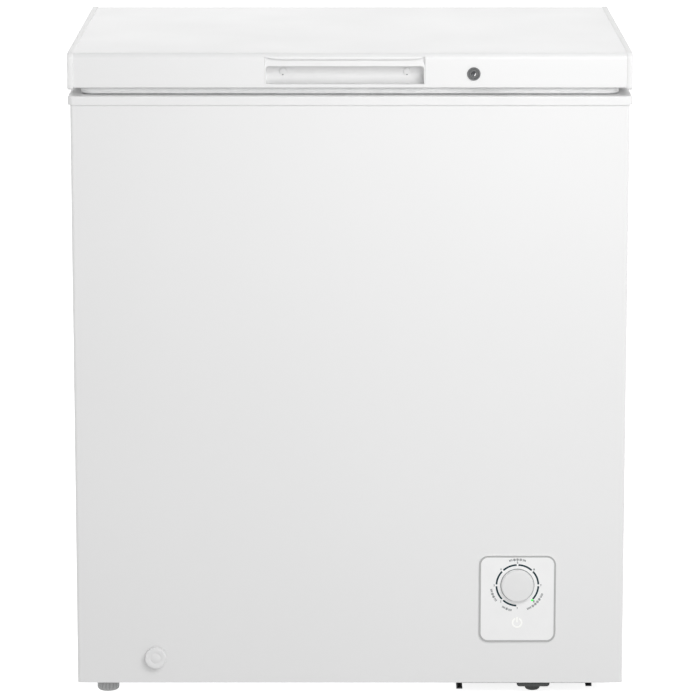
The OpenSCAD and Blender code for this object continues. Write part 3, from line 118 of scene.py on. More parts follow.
def linear(code):
    """An sRGB hex colour as linear red, green, blue and alpha."""
    parts = [int(code[i : i + 2], 16) / 255 for i in (1, 3, 5)]
    return tuple(c / 12.92 if c <= 0.04045 else ((c + 0.055) / 1.055) ** 2.4 for c in parts) + (1.0,)


def colour_prop(name, description, code):
    """A colour property whose default is an sRGB hex colour."""
    return bpy.props.FloatVectorProperty(
        name=name, description=description, subtype="COLOR", size=4, min=0, max=1, default=linear(code)
    )


def value_prop(name, description, default, **settings):
    """A number property that can't fall below nought."""
    return bpy.props.FloatProperty(name=name, description=description, min=0, default=default, **settings)


def length_prop(name, description, millimetres):
    """A length property with its default in millimetres."""
    return value_prop(name, description, millimetres * MM, subtype="DISTANCE", unit="LENGTH")


def add_node(tree, kind, inputs=None, **settings):
    """Adds a node, sets its properties, and fills each named or numbered input with a value or links it to a
    socket."""
    made = tree.nodes.new(kind)
    for key, value in settings.items():
        setattr(made, key, value)
    for key, value in (inputs or {}).items():
        if isinstance(value, bpy.types.NodeSocket):
            tree.links.new(value, made.inputs[key])
        else:
            made.inputs[key].default_value = value
    return made


# ------------------------------------------------------------------ surfaces from arrays


def grid_faces(rows, cols, close_rows=False, close_cols=False, keep=None):
    """Quads of a grid of rows x cols points, row by row; keep is a mask over the cells that stay."""
    i = np.arange(rows if close_rows else rows - 1)
    j = np.arange(cols if close_cols else cols - 1)
    i, j = np.meshgrid(i, j, indexing="ij")
    i2, j2 = (i + 1) % rows, (j + 1) % cols
    quads = np.stack([i * cols + j, i2 * cols + j, i2 * cols + j2, i * cols + j2], -1)
    return (quads[keep] if keep is not None else quads.reshape(-1, 4)).tolist()


def join(parts):
    """Joins (points, faces) pairs into one pair, each part's face numbers moved past those before it."""
    points, faces, first = [], [], 0
    for part_points, part_faces in parts:
        flat = np.asarray(part_points, float).reshape(-1, 3)
        points.append(flat)
        faces += [[first + k for k in face] for face in part_faces]
        first += len(flat)
    return np.concatenate(points), faces


def moved(shape, by):
    """A (points, faces) pair moved by (x, y, z)."""
    points, faces = shape
    return points + np.asarray(by, float), faces


def lifted(flat, level, axis=2):
    """Outlines of flat points made solid ones: each outline's level goes in as its coordinate on an axis."""
    level = np.broadcast_to(np.asarray(level, float)[..., None, None], flat.shape[:-1] + (1,))
    return np.concatenate([flat[..., :axis], level, flat[..., axis:]], -1)


def arc(cx, cy, r, start, end, count):
    """Points (cx + r cos a, cy + r sin a) for angles a from start to end in degrees."""
    a = np.radians(np.linspace(start, end, count))
    return np.stack([cx + r * np.cos(a), cy + r * np.sin(a)], -1)


def rounded(width, depth, radius, inset=0.0, steps=6):
    """A rectangle's outline with round corners, moved in by inset. Each point is its corner's centre plus
    (radius - inset) along its direction, so the outline stays parallel, and turns square past the radius.
    radius is one number, or four from the (+, +) corner anticlockwise."""
    a = np.radians(np.linspace(0, 90, steps + 1))
    turn = np.concatenate([a + k * math.pi / 2 for k in range(4)])
    sign = np.repeat(np.array([[1, 1], [-1, 1], [-1, -1], [1, -1]], float), steps + 1, 0)
    radius = np.repeat(np.broadcast_to(np.asarray(radius, float), 4), steps + 1)[:, None]
    away = np.stack([np.cos(turn), np.sin(turn)], -1)
    left = radius - np.asarray(inset, float)[..., None, None]
    centre = sign * (np.array([width / 2, depth / 2]) - radius)
    return centre + np.maximum(left, 0) * away + np.minimum(left, 0) * sign


def ring(width, depth, radius, profile, centre=(0.0, 0.0), steps=6):
    """A closed profile of (inset, height) points carried round a rectangle with round corners."""
    profile = np.asarray(profile, float)
    points = lifted(rounded(width, depth, radius, profile[:, 0], steps) + np.asarray(centre), profile[:, 1])
    return points, grid_faces(points.shape[0], points.shape[1], True, True)


def loft(rings, cap_start=True):
    """Outlines of equal length joined one to the next, with a flat face on the last and, if asked, on the
    first."""
    rings = np.asarray(rings, float)
    rows, cols = rings.shape[:2]
    faces = grid_faces(rows, cols, False, True)
    if cap_start:
        faces.append(list(range(cols))[::-1])
    faces.append([(rows - 1) * cols + k for k in range(cols)])
    return rings.reshape(-1, 3), faces


def revolve(profile, origin, axis="y", steps=64, ripple=None):
    """(radius, height) points turned about an axis through origin: a point is origin + height along the axis
    + radius (cos t, sin t) across it. ripple(t, row) is a factor on the radius."""
    profile = np.asarray(profile, float)
    t = np.linspace(0, 2 * math.pi, steps, endpoint=False)
    radius = np.broadcast_to(profile[:, :1], (len(profile), steps)).copy()
    if ripple is not None:
        radius *= ripple(t[None, :], np.arange(len(profile))[:, None])
    across = np.stack([radius * np.cos(t), radius * np.sin(t)], -1)
    along = np.broadcast_to(profile[:, 1:2], (len(profile), steps))[..., None]
    order = {"y": [0, 2, 1], "z": [0, 1, 2]}[axis]
    points = np.concatenate([across, along], -1)[..., order] + np.asarray(origin, float)
    return points, grid_faces(len(profile), steps, False, True)


def knurl(teeth, share, power, first, last):
    """A ripple for revolve, on the profile's points from first to last: the radius loses up to a share of
    itself at each gap between teeth, as cos(teeth t) to a power, and nothing where that is below nought."""

    def ripple(t, row):
        return 1 - share * np.clip(np.cos(teeth * t), 0, 1) ** power * ((row >= first) & (row <= last))

    return ripple


def tube(path, radius, across=(1.0, 0.0, 0.0), sides=12, closed=False):
    """A round tube along a path: side = path direction x across, up = side x direction, and a ring of
    radius (cos t side + sin t up) stands at each path point."""
    path = np.asarray(path, float)
    if closed:
        ahead = np.roll(path, -1, 0) - np.roll(path, 1, 0)
    else:
        ahead = np.gradient(path, axis=0)
    ahead /= np.linalg.norm(ahead, axis=1, keepdims=True)
    side = np.cross(ahead, np.asarray(across, float))
    side /= np.linalg.norm(side, axis=1, keepdims=True)
    up = np.cross(side, ahead)
    t = np.linspace(0, 2 * math.pi, sides, endpoint=False)[None, :, None]
    points = path[:, None, :] + radius * (np.cos(t) * side[:, None, :] + np.sin(t) * up[:, None, :])
    faces = grid_faces(len(path), sides, closed, True)
    if not closed:
        faces += [list(range(sides)), [(len(path) - 1) * sides + k for k in range(sides)][::-1]]
    return points.reshape(-1, 3), faces


def bent(corners, radius, steps=6):
    """A path through corner points with each corner rounded by a parabola-like bend: start + end weights
    (1-s)^2 and s^2, corner weight 2 s (1-s), for s from 0 to 1."""
    corners = np.asarray(corners, float)
    s = np.linspace(0, 1, steps + 1)[:, None]
    path = [corners[:1]]
    for before, corner, after in zip(corners[:-2], corners[1:-1], corners[2:]):
        a = corner + (before - corner) / np.linalg.norm(before - corner) * radius
        b = corner + (after - corner) / np.linalg.norm(after - corner) * radius
        path.append((1 - s) ** 2 * a + 2 * s * (1 - s) * corner + s**2 * b)
    return np.concatenate(path + [corners[-1:]])


# ------------------------------------------------------------------ pieces


def shade(mesh, angle):
    """Smooth shading with sharp edges above an angle in degrees and along the open rims of a sheet."""
    mesh.shade_smooth()
    mesh.set_sharp_from_angle(angle=math.radians(angle))
    used = np.zeros(len(mesh.loops), dtype=np.int32)
    mesh.loops.foreach_get("edge_index", used)
    for edge in np.flatnonzero(np.bincount(used, minlength=len(mesh.edges)) == 1):
        mesh.edges[edge].use_edge_sharp = True


def soften(piece, width, segments):
    """A small bevel on hard edges, its width in millimetres, with flat faces kept flat in the shading."""
    bevel = piece.modifiers.new("soft edges", "BEVEL")
    bevel.width = width * MM
    bevel.segments = segments
    bevel.limit_method = "ANGLE"
    bevel.angle_limit = math.radians(40)
    bevel.use_clamp_overlap = True
    normals = piece.modifiers.new("flat faces", "WEIGHTED_NORMAL")
    normals.keep_sharp = False


def thicken(piece, thickness):
    """A sheet's thickness in millimetres, added behind its face."""
    wall = piece.modifiers.new("sheet thickness", "SOLIDIFY")
    wall.thickness = thickness * MM
    wall.offset = -1
    wall.use_even_offset = True


def place_piece(name, mesh, looks, node, ride=True):
    """A finished mesh put into the scene with its finishes. It stands for a CAD node and
    rides on that node's body. A piece that spans two bodies rides on neither, and the floor has no
    node."""
    piece = bpy.data.objects.new(name, mesh)
    bpy.context.scene.collection.objects.link(piece)
    for look in (looks,) if isinstance(looks, str) else looks:
        mesh.materials.append(finish(look))
    if node:
        if ride:
            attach(piece, frame["nodes"][node]["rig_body"])
        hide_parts(node)
    return piece


def make_piece(name, shape, looks, node=None, angle=35, turn=True, ride=True):
    """A new piece from (points, faces) in millimetres, closed at its poles, with smooth shading. Its faces
    are turned outwards, unless they are an open sheet's, which point the right way already."""
    points, faces = shape
    mesh = bpy.data.meshes.new(name)
    mesh.from_pydata((np.asarray(points, float).reshape(-1, 3) * MM).tolist(), [], faces)
    merged = bmesh.new()
    merged.from_mesh(mesh)
    bmesh.ops.remove_doubles(merged, verts=merged.verts, dist=2e-6)
    if turn:
        bmesh.ops.recalc_face_normals(merged, faces=merged.faces)
    merged.to_mesh(mesh)
    merged.free()
    shade(mesh, angle)
    return place_piece(name, mesh, looks, node, ride)


def dress_node(node, look, edge=0.25, segments=2, angle=35):
    """A merged copy of a CAD node with round faces smoothed and hard edges softened, in the node's place."""
    merged = bmesh.new()
    merged.from_mesh(frame["nodes"][node].data)
    bmesh.ops.remove_doubles(merged, verts=merged.verts, dist=1e-6)
    flat = math.radians(0.4)  # faces that turn less than this are one flat face
    bmesh.ops.dissolve_limit(merged, angle_limit=flat, verts=merged.verts, edges=merged.edges)
    mesh = bpy.data.meshes.new(node + "_dressed")
    merged.to_mesh(mesh)
    merged.free()
    shade(mesh, angle)
    piece = place_piece(node + "_dressed", mesh, look, node)
    if edge:
        soften(piece, edge, segments)


def pierce(piece, sides, level, angle):
    """A rectangular slot through the flat of a sheet at one level: planes cut the sheet along the slot's
    sides, given as (axis, millimetres) with the lower of each pair first, and what lies between them goes."""
    near = 1e-6
    cut = bmesh.new()
    cut.from_mesh(piece.data)
    for axis, value in sides:
        flat = [face for face in cut.faces if all(abs(vert.co.z - level * MM) < near for vert in face.verts)]
        edges = dict.fromkeys(edge for face in flat for edge in face.edges)
        verts = dict.fromkeys(vert for face in flat for vert in face.verts)
        across = [float(axis == k) for k in range(3)]
        bmesh.ops.bisect_plane(
            cut, geom=[*flat, *edges, *verts], plane_co=[a * value * MM for a in across], plane_no=across
        )
    spans = [(axis, lower * MM, upper * MM) for (axis, lower), (_, upper) in (sides[:2], sides[2:])]
    gone = []
    for face in cut.faces:
        centre = face.calc_center_median()
        inside = all(lower < centre[axis] < upper for axis, lower, upper in spans)
        if inside and abs(centre.z - level * MM) < near:
            gone.append(face)
    if not gone:
        raise RuntimeError(f"nothing to cut out of {piece.name}")
    bmesh.ops.delete(cut, geom=gone, context="FACES")
    cut.to_mesh(piece.data)
    cut.free()
    shade(piece.data, angle)


# ------------------------------------------------------------------ finishes


def add_pattern(tree, place, kind, size, detail=2.0, stretch=(1.0, 1.0, 1.0)):
    """A value of 0..1 over a piece, with features about `size` metres across. Clouds are noise, and a stretch
    below 1 draws them out along that axis. Cells are the distance to the nearest of scattered points, pebbles
    the same with soft edges, and crystals one even value round each point."""
    inputs = {"Vector": place, "Scale": 1.0 / size}
    if kind == "clouds":
        mapped = add_node(tree, "ShaderNodeMapping", {"Vector": place, "Scale": stretch})
        inputs |= {"Vector": mapped.outputs["Vector"], "Detail": detail, "Roughness": 0.55}
        return add_node(tree, "ShaderNodeTexNoise", inputs).outputs["Fac"]
    if kind == "pebbles":
        inputs["Smoothness"] = 0.7
        return add_node(tree, "ShaderNodeTexVoronoi", inputs, feature="SMOOTH_F1").outputs["Distance"]
    scattered = add_node(tree, "ShaderNodeTexVoronoi", inputs)
    if kind == "cells":
        return scattered.outputs["Distance"]
    return add_node(tree, "ShaderNodeSeparateColor", {"Color": scattered.outputs["Color"]}).outputs[0]


def surface(name, colour, mottle, shades, constants, reliefs=(), gloss=None):
    """A material whose patterns lie on Object coordinates. A pattern is a kind, a size in metres and, for
    clouds, a detail and a stretch. The colour runs between two shades, as factors of `colour`, by the pattern
    `mottle`. Each relief is a pattern and the depth in metres that it stands for, over the relief before it.
    gloss is a pattern and the two roughnesses that it runs between. The constants, which are the same all
    over, are set on the shader's own sockets."""
    made = bpy.data.materials.new(name)
    made.use_nodes = True
    tree = made.node_tree
    tree.nodes.clear()
    place = add_node(tree, "ShaderNodeTexCoord").outputs["Object"]
    added = {}

    def pattern(settings):
        if settings not in added:
            added[settings] = add_pattern(tree, place, *settings)
        return added[settings]

    dark, light = (tuple(min(1.0, c * factor) for c in tuple(colour)[:3]) + (1.0,) for factor in shades)
    inputs = {0: pattern(mottle), 6: dark, 7: light}
    mixed = add_node(tree, "ShaderNodeMix", inputs, data_type="RGBA", clamp_factor=True)
    sockets = {"Base Color": mixed.outputs[2], **constants}
    if gloss:
        by, start, end = gloss
        # Clouds stay near their middle, so that part of them is stretched to the whole range
        lowest, highest = (0.3, 0.7) if by[0] == "clouds" else (0.0, 1.0)
        inputs = {"Value": pattern(by), "From Min": lowest, "From Max": highest}
        mapped = add_node(tree, "ShaderNodeMapRange", {**inputs, "To Min": start, "To Max": end})
        sockets["Roughness"] = mapped.outputs["Result"]
    below = {}
    for by, depth in reliefs:
        inputs = {"Height": pattern(by), "Distance": depth, "Strength": 1.0, **below}
        below = {"Normal": add_node(tree, "ShaderNodeBump", inputs).outputs["Normal"]}
    shader = add_node(tree, "ShaderNodeBsdfPrincipled", {**sockets, **below})
    add_node(tree, "ShaderNodeOutputMaterial", {"Surface": shader.outputs["BSDF"]})
    return made


def coated_sheet(name, colour):
    """Polyester-coated steel sheet: roller-coated, so the gloss is soft, with a fine orange peel and a very
    slow unevenness of the sheet over the foam."""
    slow = ("clouds", 320 * MM, 1.0)
    peel = ("clouds", 2.4 * MM, 1.0)  # real peel is about 1 mm; drawn coarser so that it shows
    coat = {"IOR": 1.5, "Coat Weight": 0.15, "Coat Roughness": 0.12}
    reliefs = ((slow, 0.5 * MM), (peel, 0.012 * MM))
    return surface(name, colour, slow, (0.985, 1.01), coat, reliefs, (("clouds", 90 * MM), 0.31, 0.38))


def moulded_plastic(name, colour, roughness, grain=0.9 * MM, depth=0.02 * MM, vary=0.03):
    """Injection-moulded plastic with a fine spark-eroded texture, which spreads the highlights."""
    shades = (1 - vary, 1 + vary / 2)
    reliefs = ((("clouds", grain, 3.0), depth),)
    gloss = (("clouds", 9 * MM), roughness - 0.04, roughness + 0.05)
    return surface(name, colour, ("clouds", 30 * MM), shades, {"IOR": 1.53}, reliefs, gloss)


def glossy_sheet(name, colour):
    """Vacuum-formed polystyrene sheet: glossy, with the faint stretch marks of forming running down it."""
    drawn = ("clouds", 22 * MM, 2.0, (1.0, 1.0, 0.12))
    reliefs = ((drawn, 0.02 * MM),)
    return surface(name, colour, drawn, (0.975, 1.01), {"IOR": 1.59}, reliefs, (drawn, 0.3, 0.38))


def zinc_plate(name, colour, roughness=0.36):
    """Zinc-plated or drawn metal: a bright grey with cloudy passivation and short drawing marks."""
    marks = ("clouds", 1.6 * MM, 2.0, (1.0, 1.0, 0.15))
    gloss = (marks, roughness - 0.06, roughness + 0.1)
    reliefs = ((marks, 0.012 * MM),)
    return surface(name, colour, ("clouds", 14 * MM, 3.0), (0.86, 1.08), {"Metallic": 1.0}, reliefs, gloss)


def galvanised_sheet(name, colour):
    """Hot-dip galvanised sheet: flat crystals of zinc, each a slightly different grey."""
    crystals = ("crystals", 9 * MM)
    reliefs = ((("clouds", 3 * MM), 0.01 * MM),)
    return surface(name, colour, crystals, (0.84, 1.1), {"Metallic": 0.9}, reliefs, (crystals, 0.34, 0.52))


def enamel(name, colour):
    """Dipped black enamel on pressings and on the compressor: thick, a little lumpy, dusty grey on top."""
    dust = ("clouds", 28 * MM, 4.0)
    reliefs = ((("clouds", 5 * MM, 3.0), 0.05 * MM),)
    return surface(name, colour, dust, (0.8, 1.6), {"IOR": 1.5}, reliefs, (dust, 0.33, 0.53))


def copper(name, colour):
    """Bare drawn copper tube, browned where it was brazed and handled."""
    brown = ("clouds", 18 * MM, 4.0)
    reliefs = ((("clouds", 1.2 * MM), 0.008 * MM),)
    return surface(name, colour, brown, (0.55, 1.05), {"Metallic": 1.0}, reliefs, (brown, 0.45, 0.26))


def soft_rubber(name, colour, roughness=0.62):
    """Moulded rubber or soft vinyl: matt, with a dusty bloom and a fine skin."""
    bloom = ("clouds", 12 * MM, 3.0)
    reliefs = ((("clouds", 0.8 * MM, 3.0), 0.03 * MM),)
    gloss = (bloom, roughness - 0.05, roughness + 0.08)
    return surface(name, colour, bloom, (0.9, 1.12), {"IOR": 1.5}, reliefs, gloss)


def stucco_sheet(name, colour):
    """Stucco-embossed aluminium: shallow pebbles of about 6 mm rolled into a bright sheet, so that scratches
    and finger marks don't show."""
    cloud = ("clouds", 60 * MM)
    reliefs = ((("pebbles", 6 * MM), 0.5 * MM),)
    return surface(name, colour, cloud, (0.94, 1.03), {"Metallic": 0.3}, reliefs, (cloud, 0.3, 0.38))


def rigid_foam(name, colour):
    """Rigid polyurethane foam: open cells at its skin, pale yellow. Real cells are under 1 mm; they are drawn
    at about 2 mm so that they show."""
    reliefs = ((("cells", 2.2 * MM), 0.5 * MM),)
    return surface(name, colour, ("clouds", 40 * MM, 3.0), (0.88, 1.05), {"Roughness": 0.9}, reliefs)


def lit_lens(name, colour, glow):
    """A small diffusing lens with a lamp behind it."""
    lit = {"Roughness": 0.3, "Emission Color": tuple(colour), "Emission Strength": glow}
    return surface(name, colour, ("clouds", 2 * MM), (0.94, 1.0), lit)


def printed_ink(name, colour):
    """Pad-printed ink: a thin flat film, matt, a little uneven at this scale."""
    matt = {"Roughness": 0.7, "Specular IOR Level": 0.15}
    return surface(name, colour, ("clouds", 1.5 * MM), (0.9, 1.15), matt)


def studio_floor(glow):
    """A wide white floor, lit so evenly that it shades off to pure white."""
    matt = {"Roughness": 0.9, "Specular IOR Level": 0.1}
    lit = {"Emission Color": (1.0, 1.0, 1.0, 1.0), "Emission Strength": glow}
    return surface("studio floor", (0.8, 0.8, 0.8), ("clouds", 3.0), (1.0, 1.025), {**matt, **lit})


FINE = (0.7 * MM, 0.012 * MM)  # grain and depth of the finest moulded texture

# Each finish by the name that the pieces use: its kind, what it is called, its colour and its own settings
FINISHES = {
    "steel": (coated_sheet, "white polyester-coated steel", "steel"),
    "moulding": (moulded_plastic, "white moulded ABS", "moulding", 0.4),
    "panel": (moulded_plastic, "pale panel plastic", "panel", 0.38, *FINE),
    # rim: painted shade in the groove round the control panel
    "rim": (moulded_plastic, "grey panel rim", "rim", 0.5),
    # joint: a painted shadow, round the dial's foot and in the screw caps' notches
    "joint": (printed_ink, "grey shadow joint", "joint"),
    "dial": (moulded_plastic, "pale grey dial plastic", "dial", 0.36, *FINE),
    "ink": (printed_ink, "dark teal print", "ink"),
    "fine ink": (printed_ink, "grey print", "fine_ink"),
    "lamp": (lit_lens, "power symbol light guide", "lamp", 0.14),
    "green": (lit_lens, "green lamp lens", "green", 0.9),
    "gasket": (soft_rubber, "soft vinyl gasket", "gasket", 0.55),
    # The gasket's foot is grey as painted contact shadow where it meets the collar
    "gasket foot": (soft_rubber, "grey gasket foot", "gasket_foot", 0.6),
    "lock": (moulded_plastic, "dark grey lock plastic", "lock", 0.4, *FINE),
    "black": (moulded_plastic, "black moulded nylon", "black", 0.3),
    "enamel": (enamel, "black dipped enamel", "enamel"),
    "foot": (moulded_plastic, "grey foot plastic", "foot", 0.5, 1.1 * MM, 0.04 * MM, 0.08),
    "pad": (soft_rubber, "dark foot rubber", "pad"),
    "grey": (moulded_plastic, "pale grey polypropylene", "grey", 0.48),
    "zinc": (zinc_plate, "zinc-plated steel", "zinc"),
    # bright: a painted highlight on the lock's key core
    "bright": (zinc_plate, "worn bright key core", "bright", 0.25),
    "dark metal": (zinc_plate, "blackened lock metal", "spring", 0.3),
    "galvanised": (galvanised_sheet, "galvanised steel", "galvanised"),
    "aluminium": (stucco_sheet, "stucco-embossed aluminium", "aluminium"),
    "liner": (glossy_sheet, "vacuum-formed polystyrene", "liner"),
    "foam": (rigid_foam, "rigid polyurethane foam", "foam"),
    "copper": (copper, "drawn copper tube", "copper"),
    "drawn": (zinc_plate, "drawn aluminium tube", "aluminium", 0.3),
    "spring": (zinc_plate, "oiled spring wire", "spring", 0.28),
    "wire": (moulded_plastic, "epoxy-coated wire", "wire", 0.3, 2.0 * MM, 0.03 * MM),
}


def finish(name):
    """The finish of that name, made the first time that it is asked for."""
    kind, title, source, *settings = FINISHES[name]
    colour = getattr(bpy.context.scene.freezer_colours, source)
    return bpy.data.materials.get(title) or kind(title, colour, *settings)


# ------------------------------------------------------------------ sizes and colours


class FreezerLid(bpy.types.PropertyGroup):
    """Sizes of the lid that are not in the CAD nodes' boxes"""

    bend: length_prop("Bend", "Outside radius of the bends along the lid's top", 8.0)
    sheet: length_prop("Sheet", "Thickness of the lid's steel", 0.8)
    handle_left: length_prop("Handle left", "Handle opening's left end, left of the middle", 109.0)
    handle_right: length_prop("Handle right", "Handle opening's right end, right of the middle", 96.0)
    handle_low: length_prop("Handle foot", "Handle opening's foot above the lid's bottom edge", 4.6)
    brow_drop: length_prop("Brow", "How far below the lid's top the brow over the grip reaches", 3.0)


class FreezerFront(bpy.types.PropertyGroup):
    """Sizes of the prints and marks on the control panel"""

    rim: length_prop("Rim", "Width of the groove round the panel", 2.5)
    scale_radius: length_prop("Scale radius", "Radius of the printed scale round the dial", 27.4)
    scale_width: length_prop("Scale width", "Width of the printed scale", 2.3)
    number_radius: length_prop("Number radius", "Radius on which the numbers stand", 30.6)
    number_height: length_prop("Number height", "Height of the numbers", 2.5)
    range_radius: length_prop("Range radius", "Radius on which the snowflakes and their ticks lie", 34.6)
    flake: length_prop("Snowflake", "Width of a snowflake", 3.7)
    symbol_radius: length_prop("Symbol radius", "Outside radius of the power symbol", 6.7)
    symbol_stroke: length_prop("Symbol stroke", "Width of the power symbol's line", 1.6)


class FreezerColours(bpy.types.PropertyGroup):
    """The object's colours"""

    steel: colour_prop("Steel", "Coated steel of the cabinet and lid", "#E9E9E9")
    moulding: colour_prop("Mouldings", "White mouldings of the lid, collar and handle", "#E9E9E9")
    panel: colour_prop("Panel", "Face of the control panel", "#F4F4F4")
    # rim: colour of the painted shade in the panel's groove
    rim: colour_prop("Rim", "Painted shade in the groove round the control panel", "#B2B2B2")
    dial: colour_prop("Dial", "Face of the dial", "#E8E8E8")
    # joint: colour of the painted shadow round the dial's foot and in the screw caps' notches
    joint: colour_prop("Joint", "Painted shadow round the dial's foot and in the screw caps' notches", "#6E7374")
    ink: colour_prop("Ink", "Print round the dial", "#0E2C34")
    fine_ink: colour_prop("Fine ink", "Numbers and small marks", "#1C2C31")
    lamp: colour_prop("Lamp", "Power symbol's light guide", "#FDFDF8")
    green: colour_prop("Green lamp", "Small green lamp", "#12E03A")
    gasket: colour_prop("Gasket", "Soft part of the lid's gasket", "#F6F7F7")
    # gasket_foot: colour of the painted contact shadow at the gasket's foot
    gasket_foot: colour_prop("Gasket foot", "Painted contact shadow on the gasket's foot, on the collar", "#B0B1B2")
    lock: colour_prop("Lock", "Ring and barrel of the lock", "#646566")
    # bright: colour of the painted highlight on the key core
    bright: colour_prop("Key core highlight", "Painted highlight down the key core's right side", "#F2F2F0")
    # black also gives the keyway's painted shade
    black: colour_prop("Black", "Painted shade of the keyway, and the bush and other black plastic", "#0B0B0C")
    enamel: colour_prop("Enamel", "Black enamel of the base and compressor", "#17181A")
    foot: colour_prop("Levelling feet", "Knurled levelling feet", "#B2B3B3")
    pad: colour_prop("Fixed feet", "Fixed feet and other dark rubber", "#383A3A")
    grey: colour_prop("Grey plastic", "Grilles, covers and housings", "#C9CBCB")
    zinc: colour_prop("Zinc", "Zinc-plated steel", "#B4B6B8")
    galvanised: colour_prop("Galvanised", "Galvanised steel", "#A9ACAE")
    aluminium: colour_prop("Aluminium", "Liner sheet and evaporator tube", "#E6E7E8")
    liner: colour_prop("Formed sheet", "Formed sheet under the lid", "#ECECEC")
    foam: colour_prop("Foam", "Insulating foam", "#EDE6CE")
    copper: colour_prop("Copper", "Refrigerant tubes", "#C07A52")
    spring: colour_prop("Spring", "Oiled spring wire and the lock's key core", "#4C4D4F")
    wire: colour_prop("Basket", "Coated wire of the basket", "#F1F2F2")


class FreezerLook(bpy.types.PropertyGroup):
    """The light and the camera"""

    floor_glow: value_prop("Floor glow", "Light given by the floor", 0.85)
    sky: value_prop("Sky", "Strength of the even white world", 0.55)
    key_power: value_prop("Key", "Power of the upper right lamp", 14.0, unit="POWER")
    front_power: value_prop("Front", "Power of the front lamp", 3.8, unit="POWER")
    side_power: value_prop("Sides", "Power of each side lamp", 10.0, unit="POWER")
    back_power: value_prop("Back", "Power of the lamp behind", 9.0, unit="POWER")
    top_power: value_prop("Top", "Power of the overhead lamp", 3.0, unit="POWER")
    lens: value_prop("Lens", "Focal length of the camera", 206.9, subtype="DISTANCE_CAMERA", unit="CAMERA")
    distance: length_prop("Distance", "How far the camera stands in front of the middle", 5375.0)
    height: length_prop("Height", "Height of the camera", 1481.0)
    pitch: value_prop(
        "Pitch", "Camera's tilt below the level", math.radians(11.28), subtype="ANGLE", unit="ROTATION"
    )


# ------------------------------------------------------------------ lid


def lid_profile(bend, low_edge, brow_top, slot_front, slot_back):
    """The lid skin's section as (y, z) points: flange, front, bend, top, bend, back, flange. The bends are
    quarter circles, and rows stand at the slot's two sides and at the handle opening's foot and top."""
    (_, y0, z0), (_, y1, z1) = BOX["lid_skin"]
    rise = math.degrees(math.asin((brow_top - (z1 - bend)) / bend))
    foot_bend, flange, flat_below_bend = 1.5, 14.0, 12
    centre = (y0 + bend, z1 - bend)
    front = np.concatenate(
        [
            [[y0 + flange, z0], [slot_back, z0], [slot_front, z0]],
            arc(y0 + foot_bend, z0 + foot_bend, foot_bend, 270, 180, 5),
            [[y0, low_edge], [y0, z1 - bend - flat_below_bend]],
            arc(*centre, bend, 180, 180 - rise, 6),
            arc(*centre, bend, 180 - rise, 90, 8)[1:],
        ]
    )
    back = front[::-1] * [-1, 1] + [y0 + y1, 0]
    return np.concatenate([front, back])


class FREEZER_OT_lid_skin(bpy.types.Operator):
    """Builds the lid's folded steel skin, with the handle opening and the lock hook's slot cut out"""

    bl_idname = "freezer.lid_skin"
    bl_label = "Lid skin"

    def execute(self, context):
        lid = context.scene.freezer_lid
        (_, y0, z0), (half, _, z1) = BOX["lid_skin"]
        bend = mm(lid.bend)
        foot = z0 + mm(lid.handle_low)
        brow = z1 - mm(lid.brow_drop)
        slot_in = 5.5
        left, right, slot_front, slot_back = hook_slot(y0 + slot_in)
        profile = lid_profile(bend, foot, brow, slot_front, slot_back)
        opening = (-mm(lid.handle_left), mm(lid.handle_right))
        x = np.unique(np.concatenate([np.linspace(-half, half, 29), opening, (left, right)]))
        points = np.empty((len(profile), len(x), 3))
        points[..., 0] = x
        points[..., 1:] = profile[:, None, :]
        mid_x = (x[1:] + x[:-1]) / 2
        mid_y, mid_z = ((profile[1:] + profile[:-1]) / 2).T
        over = (mid_x > opening[0]) & (mid_x < opening[1])
        front = (mid_y < y0 + bend) & (mid_z > foot) & (mid_z < brow)
        hooked = (mid_x > left) & (mid_x < right)
        flange = (mid_z < z0 + 0.01) & (mid_y > slot_front) & (mid_y < slot_back)
        keep = ~(front[:, None] & over[None, :]) & ~(flange[:, None] & hooked[None, :])
        faces = [face[::-1] for face in grid_faces(len(profile), len(x), keep=keep)]
        skin = make_piece("lid_skin_sheet", (points, faces), "steel", "lid_skin", turn=False)
        thicken(skin, mm(lid.sheet))
        return {"FINISHED"}


class FREEZER_OT_end_caps(bpy.types.Operator):
    """Builds the two end caps, rounded over at the outer face, each with a lip inside that closes the skin"""

    bl_idname = "freezer.end_caps"
    bl_label = "End caps"

    def execute(self, context):
        (_, y0, z0), (out, y1, z1) = BOX["lid_end_caps"]
        inner, mid_y = high("lid_skin", 0), (y0 + y1) / 2
        edge, step = 1.6, 0.5
        turn = np.radians(np.linspace(0, 90, 6))
        inset = np.concatenate([[step, 0.0], edge * (1 - np.cos(turn))])
        x = np.concatenate([[inner, inner + step], out - edge + edge * np.sin(turn)])
        outline = rounded(y1 - y0, z1 - z0, [9, 9, 4, 4], inset, 10) + [mid_y, (z0 + z1) / 2]
        lip_width, lip_length, lip_base, lip_thickness = 6.5, y1 - y0 - 7, 3.6, 2.0
        lip = rounded(lip_width, lip_length, 0.6) + [inner + step - lip_width / 2, mid_y]
        lips = [lifted(lip, z0 + lip_base + rise) for rise in (0, lip_thickness)]
        right_cap = (lifted(outline, x, 0), np.stack(lips))
        parts = [loft(rings * [side, 1, 1]) for rings in right_cap for side in (1, -1)]
        make_piece("lid_end_caps_moulded", join(parts), "moulding", "lid_end_caps", angle=50)
        return {"FINISHED"}


